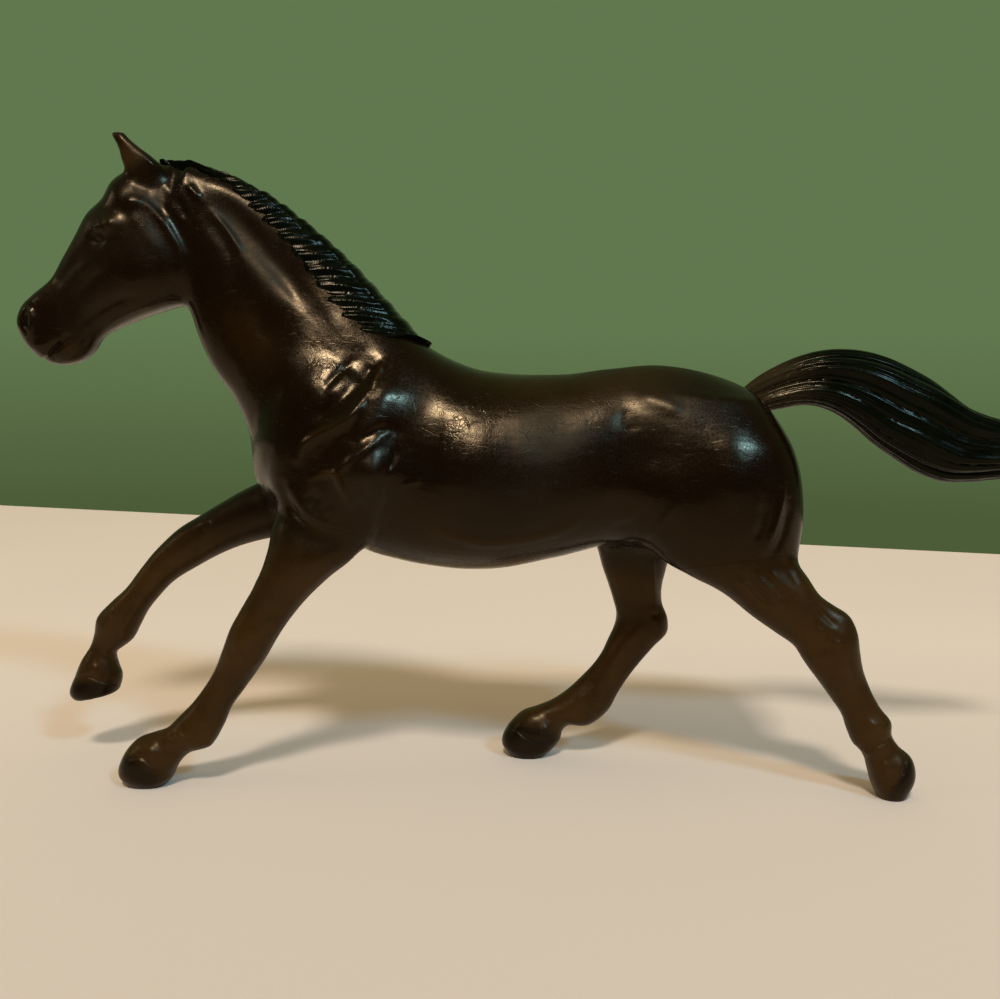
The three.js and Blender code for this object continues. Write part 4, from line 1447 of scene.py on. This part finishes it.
def tail_form():
    """Points and faces of the tail: locks, strands and hairs that swing round it on their way down."""
    rings = loft(TAIL_SHARES, sides=TAIL_SIDES, steps=TAIL_SPANS)
    points, faces, normals = hair_form(rings)
    round_share = np.tile(np.arange(TAIL_SIDES) / TAIL_SIDES, len(rings))
    along = np.repeat(np.linspace(0, 1, len(rings)), TAIL_SIDES)
    angle = 2 * math.pi * round_share
    wander = np.stack([np.cos(angle), np.sin(angle), 2.2 * along], axis=1)
    swing = 0.022 * uneven(wander, 0.9, 11) + 0.035 * np.sin(2 * math.pi * (along - 0.1))
    strands = round_share + 0.8 * swing + 0.014 * uneven(wander, 0.45, 12)
    hairs = round_share + 0.7 * swing + 0.005 * uneven(wander, 0.3, 13)
    lines = 0.55 * ridge(TAIL_LOCKS * (round_share + swing) + 0.2)
    lines += 0.16 * ridge(TAIL_STRANDS * strands) + 0.06 * ridge(TAIL_HAIRS * hairs)
    full = np.minimum(eased(along / 0.12), eased((1 - along) / 0.05) + 0.15)
    lift = np.concatenate([TAIL_HEIGHT * (lines - 0.15) * (0.35 + 0.65 * full), [0, 0]])
    return points + normals * lift[:, None], faces


brown = brown_plastic("brown_plastic")
black = black_plastic("black_hair_plastic")

# The body in clay, and with it the legs
body_forms = [
    (clay_of(loft(mirrored(rows) if other_side else rows, taper, fullness=fullness)), fillet)
    for rows, other_side, taper, fullness, fillet in BODY_FORMS
]
legs = {name: clay_of(loft(rows)) for name, rows in LEG_SHARES.items()}
body = empty_clay([*(form for form, _ in body_forms), *legs.values()])
for form, fillet in body_forms:
    press_on(body, form, fillet)
whole_clay = body.copy()
for form in legs.values():
    press_on(whole_clay, form, LEG_FILLET)

# Its surface, with finer faces where the strokes are narrow
points, faces = polygons_of(whole_clay)
points = faired(points, faces)
fine_strokes = [(1, FINE_REACH * width, route) for _, width, route in HEAD_STROKES if width < FINE_STROKE]
fine = stroked(fine_strokes, seen_at(near_side(points))) > FINE_LIMIT
points, faces = refined(points, faces, fine)
points = sculpted(points, faces)
whole = object_of("whole", points, faces, brown)
whole_grown = object_of("whole_grown", points + normals_of(points, faces) * HAIR_GAP, faces, brown)

# Cut into its pieces
rest_of_body = whole
for name in legs:
    cutter = leg_cutter(name, 0)
    leg = combined(whole, cutter, "INTERSECT", name + "_piece")
    removed(cutter)
    cutter = leg_cutter(name, SEAM)
    smaller = combined(rest_of_body, cutter, "DIFFERENCE", "body_without_" + name)
    removed(cutter)
    if rest_of_body is not whole:
        removed(rest_of_body)
    rest_of_body = smaller
    tinted(leg)
    settled(leg, "brown_leg", name)
for side, name in ((-1, "left_body_shell"), (1, "right_body_shell")):
    block = half_space(side)
    shell = combined(rest_of_body, block, "INTERSECT", name + "_piece")
    removed(block)
    tinted(shell)
    settled(shell, "brown_body", name)
removed(rest_of_body)

# Hair, hollowed to fit the body
for name, form in (("mane", mane_form()), ("tail", tail_form())):
    solid = object_of(name + "_form", *form, black)
    hair = combined(solid, whole_grown, "DIFFERENCE", name + "_piece")
    removed(solid)
    places, _ = arrays_of(hair)
    thin = eased((TAIL_ROOT_SHARE * FIGURE_LENGTH - places[:, 0]) / TAIL_ROOT_FADE + 0.4)
    given_points(hair, pale=thin if name == "tail" else np.zeros(len(places)))
    settled(hair, "black_hair", name)
removed(whole, whole_grown)

floor = make_table()
make_camera()
for name, settings in LAMPS.items():
    make_lamp(name, *settings)
make_room()
bpy.context.scene.view_settings.view_transform = "Standard"
